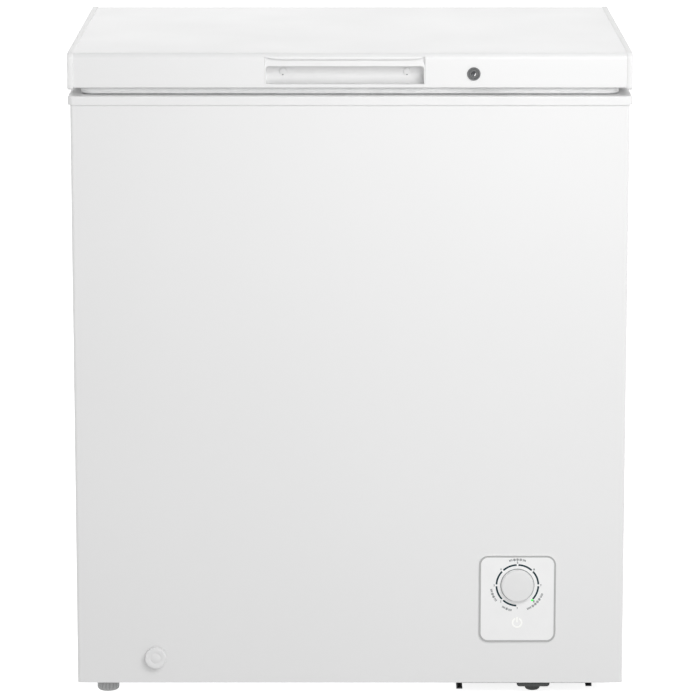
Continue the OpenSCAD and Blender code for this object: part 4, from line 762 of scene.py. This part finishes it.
class FREEZER_OT_gasket(bpy.types.Operator):
    """Builds the gasket: a white vinyl bellows under the lid and its magnet pocket, on a thin foot coloured
    grey as painted contact shadow where it meets the collar, as closed profiles carried round the lid"""

    bl_idname = "freezer.gasket"
    bl_label = "Gasket"

    def execute(self, context):
        (_, y0, z0), (x1, y1, z1) = BOX["lid_gasket"]
        width, corner = 16, 18
        outer = [(0, z1), (0, z1 - 1.2), (1.4, z1 - 2.0), (1.5, z1 - 2.8), (0.3, z1 - 3.8), (0.1, z1 - 4.6)]
        pocket = [(0.1, z0 + 1.9), (0.6, z0 + 1.5), (15.4, z0 + 1.5), (15.9, z0 + 1.9)]
        inner = [(width - inset, z) for inset, z in outer[::-1]]
        # The foot is grey: painted contact shadow where the gasket meets the collar
        foot = [(1.4, z0 + 1.45), (1.0, z0 + 0.9), (1.6, z0), (14.4, z0), (15.0, z0 + 0.9), (14.6, z0 + 1.45)]
        for name, profile, look in (
            ("gasket_bellows", outer + pocket + inner, "gasket"),
            ("gasket_foot", foot, "gasket foot"),
        ):
            shape = ring(2 * x1, y1 - y0, corner, profile, (0.0, (y0 + y1) / 2), 8)
            make_piece(name, shape, look, "lid_gasket", angle=60)
        return {"FINISHED"}


class FREEZER_OT_handle(bpy.types.Operator):
    """Dresses the handle moulding, with its crescent grip and finger recess, and turns its screw caps"""

    bl_idname = "freezer.handle"
    bl_label = "Handle"

    def execute(self, context):
        dress_node("handle_moulding", "moulding", 0.3, angle=40)
        (left, face, foot), (right, back, _) = BOX["handle_screw_caps"]
        radius, notch_depth, notch_width = 4.8, 0.2, 0.16
        profile = [(0, -1.4), (3.0, -1.38), (4.3, -1.25), (4.75, -0.8), (radius, 0.0), (0, 0.0)]

        def notch(t, row):
            """The share of the radius left: a bell-shaped dip at the cap's foot, where t is 3/2 pi."""
            return 1 - notch_depth * np.exp(-(((t - 1.5 * math.pi) / notch_width) ** 2)) * (row > 1)

        # Each cap's notch gets a dark bar: painted shade in the slot
        bar = stroke([(0, 0), (0, 0.6), (0, 1.2)], 1.5, 0.4)
        caps, notch_shades = [], []
        for x in (left + radius, right - radius):
            caps.append(revolve(profile, (x, back, middle("handle_screw_caps")[2]), "y", 72, notch))
            notch_shades.append(moved(bar, (x, face + 0.02, foot + 0.1)))
        make_piece("screw_caps", join(caps), "moulding", "handle_screw_caps")
        make_piece("screw_cap_notches", join(notch_shades), "joint", "handle_screw_caps")
        return {"FINISHED"}


class FREEZER_OT_lock(bpy.types.Operator):
    """Builds the key lock: a dark ring and barrel, turned about the lock's axis, round a metal key core"""

    bl_idname = "freezer.lock"
    bl_label = "Lock"

    def execute(self, context):
        x, _, z = middle("lock_bezel")
        front, face = low("lock_bezel", 1), low("lock_barrel", 1)
        seat = low("lid_skin", 1) - front
        bore, out = 6.15, 8.5
        bezel = [(bore, 3.0), (bore, 0.9), (6.4, 0.25), (7.0, 0.0), (7.9, 0.15), (8.4, 0.7), (out, 1.3),
                 (out, seat), (7.0, seat), (7.0, 6.0), (bore, 6.0), (bore, 3.0)]
        make_piece("lock_ring", revolve(bezel, (x, front, z), "y", 72), "lock", "lock_bezel")

        shank = [(6.0, 1.0), (6.0, 7.4), (2.5, 7.5), (2.5, 9.4), (4.5, 9.4), (4.5, 11.2), (0, 11.2)]
        barrel = [(0, 1.5), (3.5, 1.5), (3.5, 0.3), (3.8, 0.05), (5.4, 0.0), (5.9, 0.4)] + shank
        core = [(0, 0.9), (1.3, 0.9), (2.3, 0.55), (3.0, 0.2), (3.35, 0.6), (3.4, 1.6), (0, 1.6)]
        # A painted highlight: a bright crescent down the key core's right side, widest half way along
        start, end, edge = 55, 180, 2.7
        lit_bearing = np.linspace(start, end, 25)
        swell = 0.15 + 1.05 * np.sin(np.radians((lit_bearing - start) / (end - start) * 180))
        gleam = slab(clock(edge - swell, lit_bearing), clock(edge, lit_bearing), 0.6)
        # The keyway is a thin black slab set in front of the key core: painted shade for the keyhole's depth
        half_width, half_height, deep = 0.45, 2.2, 0.25
        mouth = np.array([(-half_width, 0), (half_width, 0), (half_width, deep), (-half_width, deep)])
        keyway = [lifted(mouth + [x, face + 0.4], z + rise) for rise in (-half_height, half_height)]
        for name, shape, look in (
            ("lock_barrel_turned", revolve(barrel, (x, face, z), "y", 64), "lock"),
            ("lock_core", revolve(core, (x, face, z), "y", 48), "dark metal"),
            # The bright crescent is a painted highlight
            ("lock_core_worn_edge", moved(gleam, (x, face + 0.25, z)), "bright"),
            ("lock_keyway", loft(keyway), "black"),
        ):
            make_piece(name, shape, look, "lock_barrel")
        dress_node("lock_hook", "zinc", 0.3)
        return {"FINISHED"}


class FREEZER_OT_lid_inside(bpy.types.Operator):
    """Builds the formed pan under the lid as a loft of round-cornered rings, and dresses the foam above it"""

    bl_idname = "freezer.lid_inside"
    bl_label = "Lid inside"

    def execute(self, context):
        (_, y0, z0), (x1, y1, z1) = BOX["lid_pan"]
        flange, fillet, corner, sheet = 1.5, 5, 12, 1.2
        rim = z1 - flange
        wide, deep, pan_wide, pan_deep = 2 * x1, y1 - y0, 566.0, 380.0
        rings = [(wide, deep, 4, z1), (wide, deep, 4, rim)]
        turn = np.radians(np.linspace(0, 90, 6))
        for a in turn:
            grow = 2 * fillet * (1 - math.sin(a))
            below = rim - fillet * (1 - math.cos(a))
            rings.append((pan_wide + grow, pan_deep + grow, corner + grow / 2, below))
        for a in turn:
            shrink = 2 * fillet * (1 - math.cos(a))
            above = z0 + fillet - fillet * math.sin(a)
            rings.append((pan_wide - shrink, pan_deep - shrink, max(corner - shrink / 2, 7), above))
        # The embossed panel in the pan's floor: how far in from its sides, and how high
        for inset, rise in ((30, 0.0), (33, 0.4), (36, 2.2), (40, 2.6)):
            rings.append((pan_wide - 2 * inset, pan_deep - 2 * inset, 10, z0 + rise))
        outlines = [lifted(rounded(w, d, r) + [0, (y0 + y1) / 2], z) for w, d, r, z in rings]
        shape = loft(outlines, cap_start=False)
        pan = make_piece("lid_pan_formed", shape, "liner", "lid_pan", angle=45, turn=False)
        slot_in = 1.5
        left, right, front, back = hook_slot(y0 + slot_in)
        pierce(pan, ((0, left), (0, right), (1, front), (1, back)), rim, 45)
        thicken(pan, -sheet)
        dress_node("lid_foam", "foam", 0)
        return {"FINISHED"}


# ------------------------------------------------------------------ cabinet


class FREEZER_OT_cabinet(bpy.types.Operator):
    """Dresses the cabinet's sheets, collar, liner, foam and coils"""

    bl_idname = "freezer.cabinet"
    bl_label = "Cabinet"

    def execute(self, context):
        dress_node("outer_wrap", "steel", 0.25)
        dress_node("top_collar", "moulding", 0.45, 3)
        for node in ("back_panel", "bottom_panel", "bay_partition"):
            dress_node(node, "galvanised", 0.2)
        for node in ("liner_walls", "liner_floor"):
            dress_node(node, "aluminium", 0.3)
        dress_node("cabinet_foam", "foam", 0)
        dress_node("evaporator_coil", "drawn", 0, angle=70)
        dress_node("condenser_coil", "copper", 0, angle=70)
        dress_node("lock_strike", "zinc", 0.2)
        return {"FINISHED"}


class FREEZER_OT_machine_bay(bpy.types.Operator):
    """Dresses the compressor, its mountings and tubes, and the covers round the machine bay"""

    bl_idname = "freezer.machine_bay"
    bl_label = "Machine bay"

    def execute(self, context):
        looks = {
            "base_plate": ("enamel", 0.4), "compressor_shell": ("enamel", 0.8),
            "compressor_mounting_plate": ("enamel", 0.4), "compressor_grommets": ("pad", 0.4),
            "compressor_studs": ("zinc", 0.25), "start_relay_cover": ("black", 0.8),
            "compressor_tubes": ("copper", 0), "filter_drier": ("copper", 0), "capillary_tube": ("copper", 0),
            "rear_cover": ("grey", 0.3), "rear_cover_screws": ("zinc", 0.2), "cord_bush": ("black", 0.4),
            "side_grille": ("grey", 0.4), "control_housing": ("grey", 0.5), "thermostat": ("grey", 0.6),
        }
        for node, (look, edge) in looks.items():
            dress_node(node, look, edge, angle=45 if edge else 75)
        return {"FINISHED"}


# ------------------------------------------------------------------ front


def slab(inner, outer, thickness):
    """A flat band between two lines of (x, z) points, given a thickness along y: front face at 0."""
    rings = np.stack([lifted(line, 0.0, 1) for line in (inner, outer)])
    rings = np.concatenate([rings, rings[::-1] + [0.0, thickness, 0.0]])
    n = rings.shape[1]
    ends = [[0, n, 2 * n, 3 * n], [4 * n - 1, 3 * n - 1, 2 * n - 1, n - 1]]
    return rings.reshape(-1, 3), grid_faces(4, n, True) + ends


def stroke(line, width, thickness):
    """A line of (x, z) points drawn with a pen of that width: each point moves half the width to either
    side, square to the line's direction there."""
    line = np.asarray(line, float)
    ahead = np.gradient(line, axis=0)
    ahead /= np.linalg.norm(ahead, axis=1, keepdims=True)
    side = np.stack([-ahead[:, 1], ahead[:, 0]], -1) * width / 2
    return slab(line - side, line + side, thickness)


def clock(radius, bearing):
    """(x, z) of a clock bearing in degrees: 0 is up, 90 is right."""
    a = np.radians(bearing)
    return np.stack([radius * np.sin(a), radius * np.cos(a)], -1)


def curve(*corners):
    """A line through corners with short steps, so that a pen turns them smoothly."""
    return bent(np.array(corners, float), 0.16, 3)


# The strokes of each number in a box 1 wide and 1 high
NUMERALS = {
    1: [curve((0.25, 0.75), (0.5, 1.0), (0.5, 0.5), (0.5, 0.0))],
    2: [curve((0.15, 0.85), (0.35, 1.0), (0.75, 1.0), (0.85, 0.65), (0.15, 0.0), (0.88, 0.0))],
    3: [curve((0.15, 0.95), (0.75, 1.0), (0.8, 0.6), (0.35, 0.53)),
        curve((0.35, 0.53), (0.88, 0.5), (0.8, 0.0), (0.12, 0.05))],
    4: [curve((0.7, 0.0), (0.7, 0.5), (0.7, 1.0), (0.1, 0.28), (0.92, 0.28))],
    5: [curve((0.85, 1.0), (0.22, 1.0), (0.2, 0.55), (0.8, 0.62), (0.85, 0.0), (0.12, 0.03))],
    6: [curve((0.75, 1.0), (0.25, 0.75), (0.15, 0.0), (0.85, 0.0), (0.85, 0.55), (0.2, 0.5))],
    7: [curve((0.1, 1.0), (0.9, 1.0), (0.6, 0.5), (0.4, 0.0))],
    8: [curve((0.5, 0.53), (0.15, 0.6), (0.2, 1.0), (0.8, 1.0), (0.85, 0.6), (0.5, 0.53)),
        curve((0.5, 0.53), (0.1, 0.45), (0.12, 0.0), (0.88, 0.0), (0.9, 0.45), (0.5, 0.53))],
}
BEARINGS = (180, 225, 270, 315, 0, 45, 90, 135)  # where the numbers stand round the dial, from 1 to 8
FILM = 0.05  # thickness of the print
SINK = 0.15  # how far the panel's face lies behind its foremost line


def snowflake(size, centre, bearing):
    """Six arms, each with two small barbs, as strokes about a centre."""
    parts = []
    for k in range(6):
        arm = clock(1.0, 60.0 * k + bearing)
        across = np.array([-arm[1], arm[0]])
        spoke = np.outer(np.linspace(0.08, 1, 3), arm)
        barb = np.array([0.85 * arm + 0.24 * across, 0.58 * arm, 0.85 * arm - 0.24 * across])
        for line in (spoke, bent(barb, 0.05, 2)):
            parts.append(stroke(np.asarray(centre) + size / 2 * line, 0.38, FILM))
    return parts


def cold_range(count, start, end, radius, flake):
    """A range of cold between two bearings: a row of snowflakes in the middle, and short ticks that lead out
    from the row on either side to the range's ends."""
    parts = []
    half_step, room = 3.4, 3.6  # degrees: half the way to the next flake, and half of what a flake takes up
    margin, pitch = 1.4, 2.6  # degrees: from the row to the first tick, and from tick to tick
    bearing, half = (start + end) / 2, count * room
    for k in range(count):
        place = bearing + (2 * k - count + 1) * half_step
        parts += snowflake(flake, clock(radius, place), place)
    for k in range(int((end - start - 2 * half) / 2 / pitch)):
        for tick in (bearing - half - margin - pitch * k, bearing + half + margin + pitch * k):
            bar = [clock(radius + reach, tick) for reach in (-1.3, 0, 1.3)]
            parts.append(stroke(bar, 0.75, FILM))
    return parts


class FREEZER_OT_control_panel(bpy.types.Operator):
    """Builds the control panel's plate, a loft of round-cornered rings with a groove round it"""

    bl_idname = "freezer.control_panel"
    bl_label = "Control panel"

    def execute(self, context):
        (left, front, foot), (right, back, top) = BOX["control_panel"]
        place = np.array([(left + right) / 2, (foot + top) / 2])
        size = np.array([right - left, top - foot])
        rim, corner = mm(context.scene.freezer_front.rim), 12.5
        rows = [(0.0, back), (0.0, front + 0.5), (0.2, front + 0.2), (0.35, front + 0.45), (rim, front + 0.6),
                (rim + 0.15, front + 0.35), (rim + 0.45, front + SINK), (rim + 4.0, front + SINK)]
        inset, depth = np.array(rows).T
        rings = lifted(rounded(*size, corner, inset, 12) + place, depth, 1)
        looks = ("panel", "rim")
        panel = make_piece(
            "control_panel_plate", loft(rings), looks, "control_panel", angle=30
        )
        # The groove's faces get the rim's darker finish, which is painted shade in the groove: those near the
        # front, a little way in from the outline
        groove_depth, margin = 0.65, 0.2
        for face in panel.data.polygons:
            x, y, z = np.array(face.center) / MM
            away = np.abs([x - place[0], z - place[1]]) - size / 2 + corner
            reach = np.hypot(*np.maximum(away, 0)) if (away > 0).all() else away.max()
            if y < front + groove_depth and corner - rim - margin < reach < corner - margin:
                face.material_index = looks.index("rim")
        return {"FINISHED"}


class FREEZER_OT_panel_print(bpy.types.Operator):
    """Prints the scale round the dial, its numbers, and the ranges of cold as snowflakes between ticks"""

    bl_idname = "freezer.panel_print"
    bl_label = "Panel print"

    def execute(self, context):
        sizes = context.scene.freezer_front
        x, _, z = middle("temperature_dial")
        place = (x, low("control_panel", 1) + SINK - FILM, z)
        radius, half_width, gap = mm(sizes.scale_radius), mm(sizes.scale_width) / 2, 2.6
        scale = []
        for start in BEARINGS[:-1]:
            bearing = np.linspace(start + gap, start + 45 - gap, 15)
            scale.append(slab(clock(radius - half_width, bearing), clock(radius + half_width, bearing), FILM))
        marks = []
        tall = mm(sizes.number_height)
        for number, bearing in enumerate(BEARINGS, 1):
            at = clock(mm(sizes.number_radius), bearing)
            for line in NUMERALS[number]:
                marks.append(stroke(at + (line - 0.5) * [0.62 * tall, tall], 0.5, FILM))
        for count, start, end in ((1, 190, 217), (2, 232, 262), (3, -20, 20), (4, 107, 160)):
            marks += cold_range(count, start, end, mm(sizes.range_radius), mm(sizes.flake))
        for name, parts, look in (("scale_print", scale, "ink"), ("number_print", marks, "fine ink")):
            make_piece(name, moved(join(parts), place), look, "control_panel")
        return {"FINISHED"}


class FREEZER_OT_lamps(bpy.types.Operator):
    """Builds the lit power symbol, a broken ring round an upright bar, and the small domed green lamp"""

    bl_idname = "freezer.lamps"
    bl_label = "Lamps"

    def execute(self, context):
        sizes = context.scene.freezer_front
        out, pen, thick = mm(sizes.symbol_radius), mm(sizes.symbol_stroke), 0.9
        bearing = np.linspace(26, 334, 64)
        broken_ring = slab(clock(out - pen, bearing), clock(out, bearing), thick)
        bar = stroke([(0.0, out + 1.0), (0.0, out / 2), (0.0, 0.6)], pen, thick)
        place = (middle("temperature_dial")[0], low("control_panel", 1) + 0.02, middle("power_lamp_lens")[2])
        symbol = moved(join([broken_ring, bar]), place)
        make_piece("power_symbol", symbol, "lamp", "power_lamp_lens")
        x, _, z = middle("fast_freeze_lamp_lens")
        dome = [(0, 0.0), (0.7, 0.08), (1.2, 0.25), (1.45, 0.55), (1.45, 2.0), (0, 2.0)]
        lens = revolve(dome, (x, low("fast_freeze_lamp_lens", 1), z), "y", 32)
        make_piece("green_lamp", lens, "green", "fast_freeze_lamp_lens")
        return {"FINISHED"}


class FREEZER_OT_dial(bpy.types.Operator):
    """Builds the dial: a section turned about its shaft, its face rounded over to a slightly drawn-in side,
    and a thin dark ring of painted shadow round its foot"""

    bl_idname = "freezer.dial"
    bl_label = "Dial"

    def execute(self, context):
        (_, front, _), (right, back, _) = BOX["temperature_dial"]
        x, _, z = middle("temperature_dial")
        out, deep = right - x, back - front
        bore, boss = 3.05, 6.0
        face = [(0, 0.05), (out - 2.4, 0.0), (out - 1.8, 0.1), (out - 1.3, 0.4), (out - 0.9, 1.0)]
        side = [(out - 0.25, deep - 1.3), (out, deep - 0.9), (out, deep), (out - 1.6, deep), (out - 1.8, 1.9)]
        hub = [(boss + 0.2, 1.8), (boss, deep - 0.8), (bore, deep - 0.8), (bore, 2.0), (0, 2.0)]
        turned = revolve(face + side + hub, (x, front, z), "y", 128)
        make_piece("dial_turned", turned, "dial", "temperature_dial")
        # A thin dark ring round the dial's foot: painted shadow
        bearing = np.linspace(0, 360, 97)
        joint = slab(clock(out - 0.4, bearing), clock(out + 0.7, bearing), FILM)
        joint = moved(joint, (x, low("control_panel", 1) + 0.1, z))
        make_piece("dial_joint", joint, "joint", "control_panel")
        dress_node("thermostat_shaft", "zinc", 0.2)
        return {"FINISHED"}


class FREEZER_OT_drain(bpy.types.Operator):
    """Builds the front drain's gripped cap, turned with a knurled rim, and dresses the pipe behind"""

    bl_idname = "freezer.drain"
    bl_label = "Drain"

    def execute(self, context):
        (_, front, _), (right, back, _) = BOX["drain_cap"]
        x, _, z = middle("drain_cap")
        out, deep, bore = right - x, back - front, 9.4
        face = [(0, 0.15), (6.2, 0.15), (6.6, 0.4), (7.1, 0.4), (7.5, 0.15), (10.6, 0.1), (12.4, 0.0),
                (13.1, 0.15), (13.6, 0.5)]
        rim = [(out - 0.15, 1.1), (out, 1.8), (out, 2.2), (out, deep - 0.5), (out - 0.6, deep)]
        inside = [(bore, deep), (bore, 2.4), (0, 2.2)]
        grip = knurl(24, 0.06, 2, 11, 13)
        cap = revolve(face + rim + inside, (x, front, z), "y", 240, grip)
        make_piece("drain_cap_turned", cap, "moulding", "drain_cap")
        for node, look in (("drain_spigot", "moulding"), ("drain_pipe", "moulding"), ("drain_seal", "pad"),
                           ("cavity_drain_plug", "pad")):
            dress_node(node, look, 0.4)
        return {"FINISHED"}


# ------------------------------------------------------------------ feet


def threaded(height, steps=24):
    """A screw thread from z = 0 up to a height: the radius is the crest's less a depth where the wave
    2 ((z / pitch + t / 2 pi) mod 1) - 1 comes near nought, for a turn t of 0 to 2 pi, so it winds with z."""
    crest, depth, pitch, layer = 3.96, 0.62, 1.25, 0.21
    z = np.linspace(0, height, int(height / layer))[:, None]
    t = np.linspace(0, 2 * math.pi, steps, endpoint=False)[None, :]
    wave = np.abs(((z / pitch + t / (2 * math.pi)) % 1.0) * 2 - 1)
    radius = crest - depth * (1 - np.clip(wave * 1.3, 0, 1))
    return np.stack([radius * np.cos(t), radius * np.sin(t), np.broadcast_to(z, radius.shape)], -1)


class FREEZER_OT_feet(bpy.types.Operator):
    """Builds the levelling feet, with a knurled grip and a threaded stem, and dresses the two fixed feet"""

    bl_idname = "freezer.feet"
    bl_label = "Feet"

    def execute(self, context):
        for end in ("front", "rear"):
            cup, stem = end + "_foot_cup", end + "_foot_stem"
            x, y, _ = middle(cup)
            out, foot = high(cup, 0) - x, low(cup, 2)
            tall, collar, bore = high(cup, 2) - foot, 8.0, 4.1
            base = [(0, 0), (out - 4.6, 0), (out - 2.4, 0.5), (out - 0.9, 1.7), (out - 0.15, 3.6), (out, 4.6)]
            grip = [(out, tall - 3.2), (out - 0.5, tall - 2.3), (out - 1.4, tall - 2.0)]
            neck = [(collar + 0.4, tall - 2.0), (collar, tall - 1.6), (collar, tall - 0.4)]
            inside = [(collar - 0.4, tall), (bore, tall), (bore, 6.0), (0, 6.0)]
            turned = revolve(base + grip + neck + inside, (x, y, foot), "z", 216, knurl(18, 0.075, 3, 4, 7))
            make_piece(cup + "_turned", turned, "foot", cup)
            x, y, _ = middle(stem)
            thread = loft(threaded(high(stem, 2) - low(stem, 2)) + [x, y, low(stem, 2)])
            make_piece(stem + "_threaded", thread, "zinc", stem, angle=60)
        dress_node("foot_nuts", "zinc", 0.3)
        dress_node("fixed_feet", "pad", 0.5)
        return {"FINISHED"}


# ------------------------------------------------------------------ hinges


class FREEZER_OT_hinges(bpy.types.Operator):
    """Builds the two torsion springs, which ride on neither body, and dresses the hinge plates"""

    bl_idname = "freezer.hinges"
    bl_label = "Hinges"

    def execute(self, context):
        for node in ("hinge_brackets", "hinge_arms", "hinge_bracket_screws", "hinge_pins"):
            dress_node(node, "zinc", 0.3)
        _, y, z = middle("hinge_pins")
        coil_r, wire, half, turns, plate, gap = 6.3, 1.2, 18.0, 7, 2.0, 0.1
        on_wall = high("back_panel", 1) + plate + wire + gap - y
        on_lid = high("lid_skin", 1) + plate + wire + gap - y
        a = np.linspace(0, 2 * math.pi * turns, turns * 28 + 1)
        along = np.linspace(-half, half, len(a))
        coil = np.stack([along, coil_r * np.cos(math.pi - a), coil_r * np.sin(math.pi - a)], -1)
        # The two legs, from the wall up to the coil and from the coil up the lid's back
        root = [(-half, on_wall, -34), (-half, -coil_r - 1.9, -24), (-half, -coil_r, -8),
                (-half, -coil_r, -0.5)]
        tip = [(half, -coil_r, 0.5), (half, -coil_r, 8), (half, on_lid, 28)]
        path = np.concatenate([bent(root, 3.0, 5), coil, bent(tip, 3.0, 5)])
        in_from_pin_end = 28.5
        out = high("hinge_pins", 0) - in_from_pin_end
        for side, x in (("left", -out), ("right", out)):
            wound = tube(path + [x, y, z], wire)
            spring = make_piece(
                "hinge_spring_" + side, wound, "spring", "hinge_springs", angle=60, ride=False
            )
            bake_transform(spring)
        return {"FINISHED"}


# ------------------------------------------------------------------ basket


class FREEZER_OT_basket(bpy.types.Operator):
    """Builds the basket's wires: a rim, level hoops, and uprights bent under the floor both ways"""

    bl_idname = "freezer.basket"
    bl_label = "Basket"

    def execute(self, context):
        x, y, rim_z = middle("basket_rim")
        rim_r, wire, sunk = 2.5, 1.5, 0.3  # crossing wires are welded, so they sink into each other a little
        half_x, half_y = high("basket_rim", 0) - x - rim_r, high("basket_rim", 1) - y - rim_r
        in_x, in_y = half_x - rim_r - wire, half_y - rim_r - wire
        floor, top, beside = low("basket_mesh", 2) + wire, rim_z + 2, 2 * wire - sunk
        hoops = (50, 100, 150)  # heights of the level hoops over the floor's wires

        def hoop(w, d, corner, z, radius, sides=12):
            flat = rounded(2 * w, 2 * d, corner, 0.0, 8) + [x, y]
            return tube(lifted(flat, z), radius, (0, 0, 1), sides, True)

        rim = hoop(half_x, half_y, 19.5, rim_z, rim_r, 20)
        make_piece("basket_rim_wire", rim, "wire", "basket_rim", angle=60)
        wires = [hoop(in_x + beside, in_y + beside, 16, floor + height, wire) for height in hoops]
        for count, pitch, level, reach, across in (
            (5, 40.0, floor, in_y, (1, 0, 0)),
            (10, 39.0, floor + beside, in_x, (0, 1, 0)),
        ):
            step, along = np.array(across), np.array([across[1], across[0], 0])
            for k in range(count):
                place = np.array([x, y, 0]) + (k - (count - 1) / 2) * pitch * step
                ends = ((-reach, top), (-reach, level), (reach, level), (reach, top))
                corners = [place + away * along + [0, 0, z] for away, z in ends]
                wires.append(tube(bent(corners, 14, 8), wire, across))
        make_piece("basket_wires", join(wires), "wire", "basket_mesh", angle=60)
        dress_node("basket_hangers", "moulding", 0.8, 3)
        return {"FINISHED"}


# ------------------------------------------------------------------ stage, light and camera


def soft_lamp(name, place, aim, width, height, power, gleam=False):
    """A large soft area lamp aimed at a point. Without gleam, it lights the steel and doesn't show as a
    highlight in its coat."""
    light = bpy.data.lights.new(name, "AREA")
    light.shape = "RECTANGLE"
    light.size, light.size_y, light.energy = width, height, power
    lamp = bpy.data.objects.new(name, light)
    lamp.location = place
    lamp.rotation_euler = (Vector(aim) - Vector(place)).to_track_quat("-Z", "Y").to_euler()
    lamp.visible_glossy = gleam
    bpy.context.scene.collection.objects.link(lamp)


class FREEZER_OT_stage(bpy.types.Operator):
    """Builds the floor, which curves up all round at a distance, the soft lamps, the world and the camera"""

    bl_idname = "freezer.stage"
    bl_label = "Stage"

    def execute(self, context):
        scene = context.scene
        look = scene.freezer_look
        foot, bend, top = 24000.0, 6000, 16000
        level = [(0, 0), (9000, 0), (foot, 0)]
        rise = [(foot + y, bend + z) for y, z in arc(0, 0, bend, -90, 0, 7)[1:]]
        points, faces = revolve(level + rise + [(foot + bend, top)], (0, 0, 0), "z", 64)
        inwards = [face[::-1] for face in faces]
        ground = make_piece("floor", (points, inwards), (), turn=False)
        ground.data.materials.append(studio_floor(look.floor_glow))
        ground.visible_diffuse = False

        world = bpy.data.worlds.new("studio")
        world.use_nodes = True
        tree = world.node_tree
        tree.nodes.clear()
        sky = add_node(tree, "ShaderNodeBackground", {"Color": (1.0, 1.0, 1.0, 1.0), "Strength": look.sky})
        add_node(tree, "ShaderNodeOutputWorld", {"Surface": sky.outputs["Background"]})
        scene.world = world

        front_middle = (0.1, -0.27, 0.6)
        soft_lamp("key", (0.7, -1.7, 1.5), front_middle, 1.0, 0.8, look.key_power, gleam=True)
        soft_lamp("back", (-0.8, 2.2, 1.2), (0.0, 0.27, 0.5), 1.2, 1.2, look.back_power)
        for name, side in (("left", -1), ("right", 1)):
            soft_lamp(name, (2.6 * side, 0.4, 1.1), (0.36 * side, 0.0, 0.5), 1.2, 1.2, look.side_power)
        soft_lamp("front", (0.3, -1.8, 0.8), front_middle, 1.0, 0.8, look.front_power)
        soft_lamp("top", (0.0, 0.5, 2.0), (0.0, 0.1, 0.85), 1.2, 0.8, look.top_power)

        data = bpy.data.cameras.new("camera")
        data.sensor_width = 36.0
        data.lens = look.lens
        data.dof.use_dof = False
        camera = bpy.data.objects.new("camera", data)
        camera.location = (0.0, -look.distance, look.height)
        camera.rotation_euler = (math.radians(90.0) - look.pitch, 0.0, 0.0)
        scene.collection.objects.link(camera)
        scene.camera = camera
        scene.view_settings.view_transform = "Standard"
        return {"FINISHED"}


# ------------------------------------------------------------------ add-on


class FREEZER_PT_build(bpy.types.Panel):
    """One button per piece, in building order"""

    bl_idname = "FREEZER_PT_build"
    bl_label = "Chest Freezer"
    bl_space_type = "VIEW_3D"
    bl_region_type = "UI"
    bl_category = "Freezer"

    def draw(self, context):
        for step in STEPS:
            self.layout.operator(step.bl_idname)


STEPS = (
    FREEZER_OT_cabinet,
    FREEZER_OT_machine_bay,
    FREEZER_OT_lid_skin,
    FREEZER_OT_end_caps,
    FREEZER_OT_gasket,
    FREEZER_OT_handle,
    FREEZER_OT_lock,
    FREEZER_OT_lid_inside,
    FREEZER_OT_control_panel,
    FREEZER_OT_panel_print,
    FREEZER_OT_lamps,
    FREEZER_OT_dial,
    FREEZER_OT_drain,
    FREEZER_OT_feet,
    FREEZER_OT_hinges,
    FREEZER_OT_basket,
    FREEZER_OT_stage,
)
GROUPS = {
    "freezer_lid": FreezerLid,
    "freezer_front": FreezerFront,
    "freezer_colours": FreezerColours,
    "freezer_look": FreezerLook,
}


def register():
    """Adds the property groups, the operators and the sidebar panel."""
    for name, group in GROUPS.items():
        bpy.utils.register_class(group)
        setattr(bpy.types.Scene, name, bpy.props.PointerProperty(type=group))
    for kind in STEPS + (FREEZER_PT_build,):
        bpy.utils.register_class(kind)


def unregister():
    """Takes away what register() added."""
    for kind in reversed(STEPS + (FREEZER_PT_build,)):
        bpy.utils.unregister_class(kind)
    for name, group in reversed(list(GROUPS.items())):
        delattr(bpy.types.Scene, name)
        bpy.utils.unregister_class(group)


def main():
    """Builds every piece in order."""
    register()
    for step in STEPS:
        area, name = step.bl_idname.split(".")
        getattr(getattr(bpy.ops, area), name)()


if __name__ == "__main__":
    main()
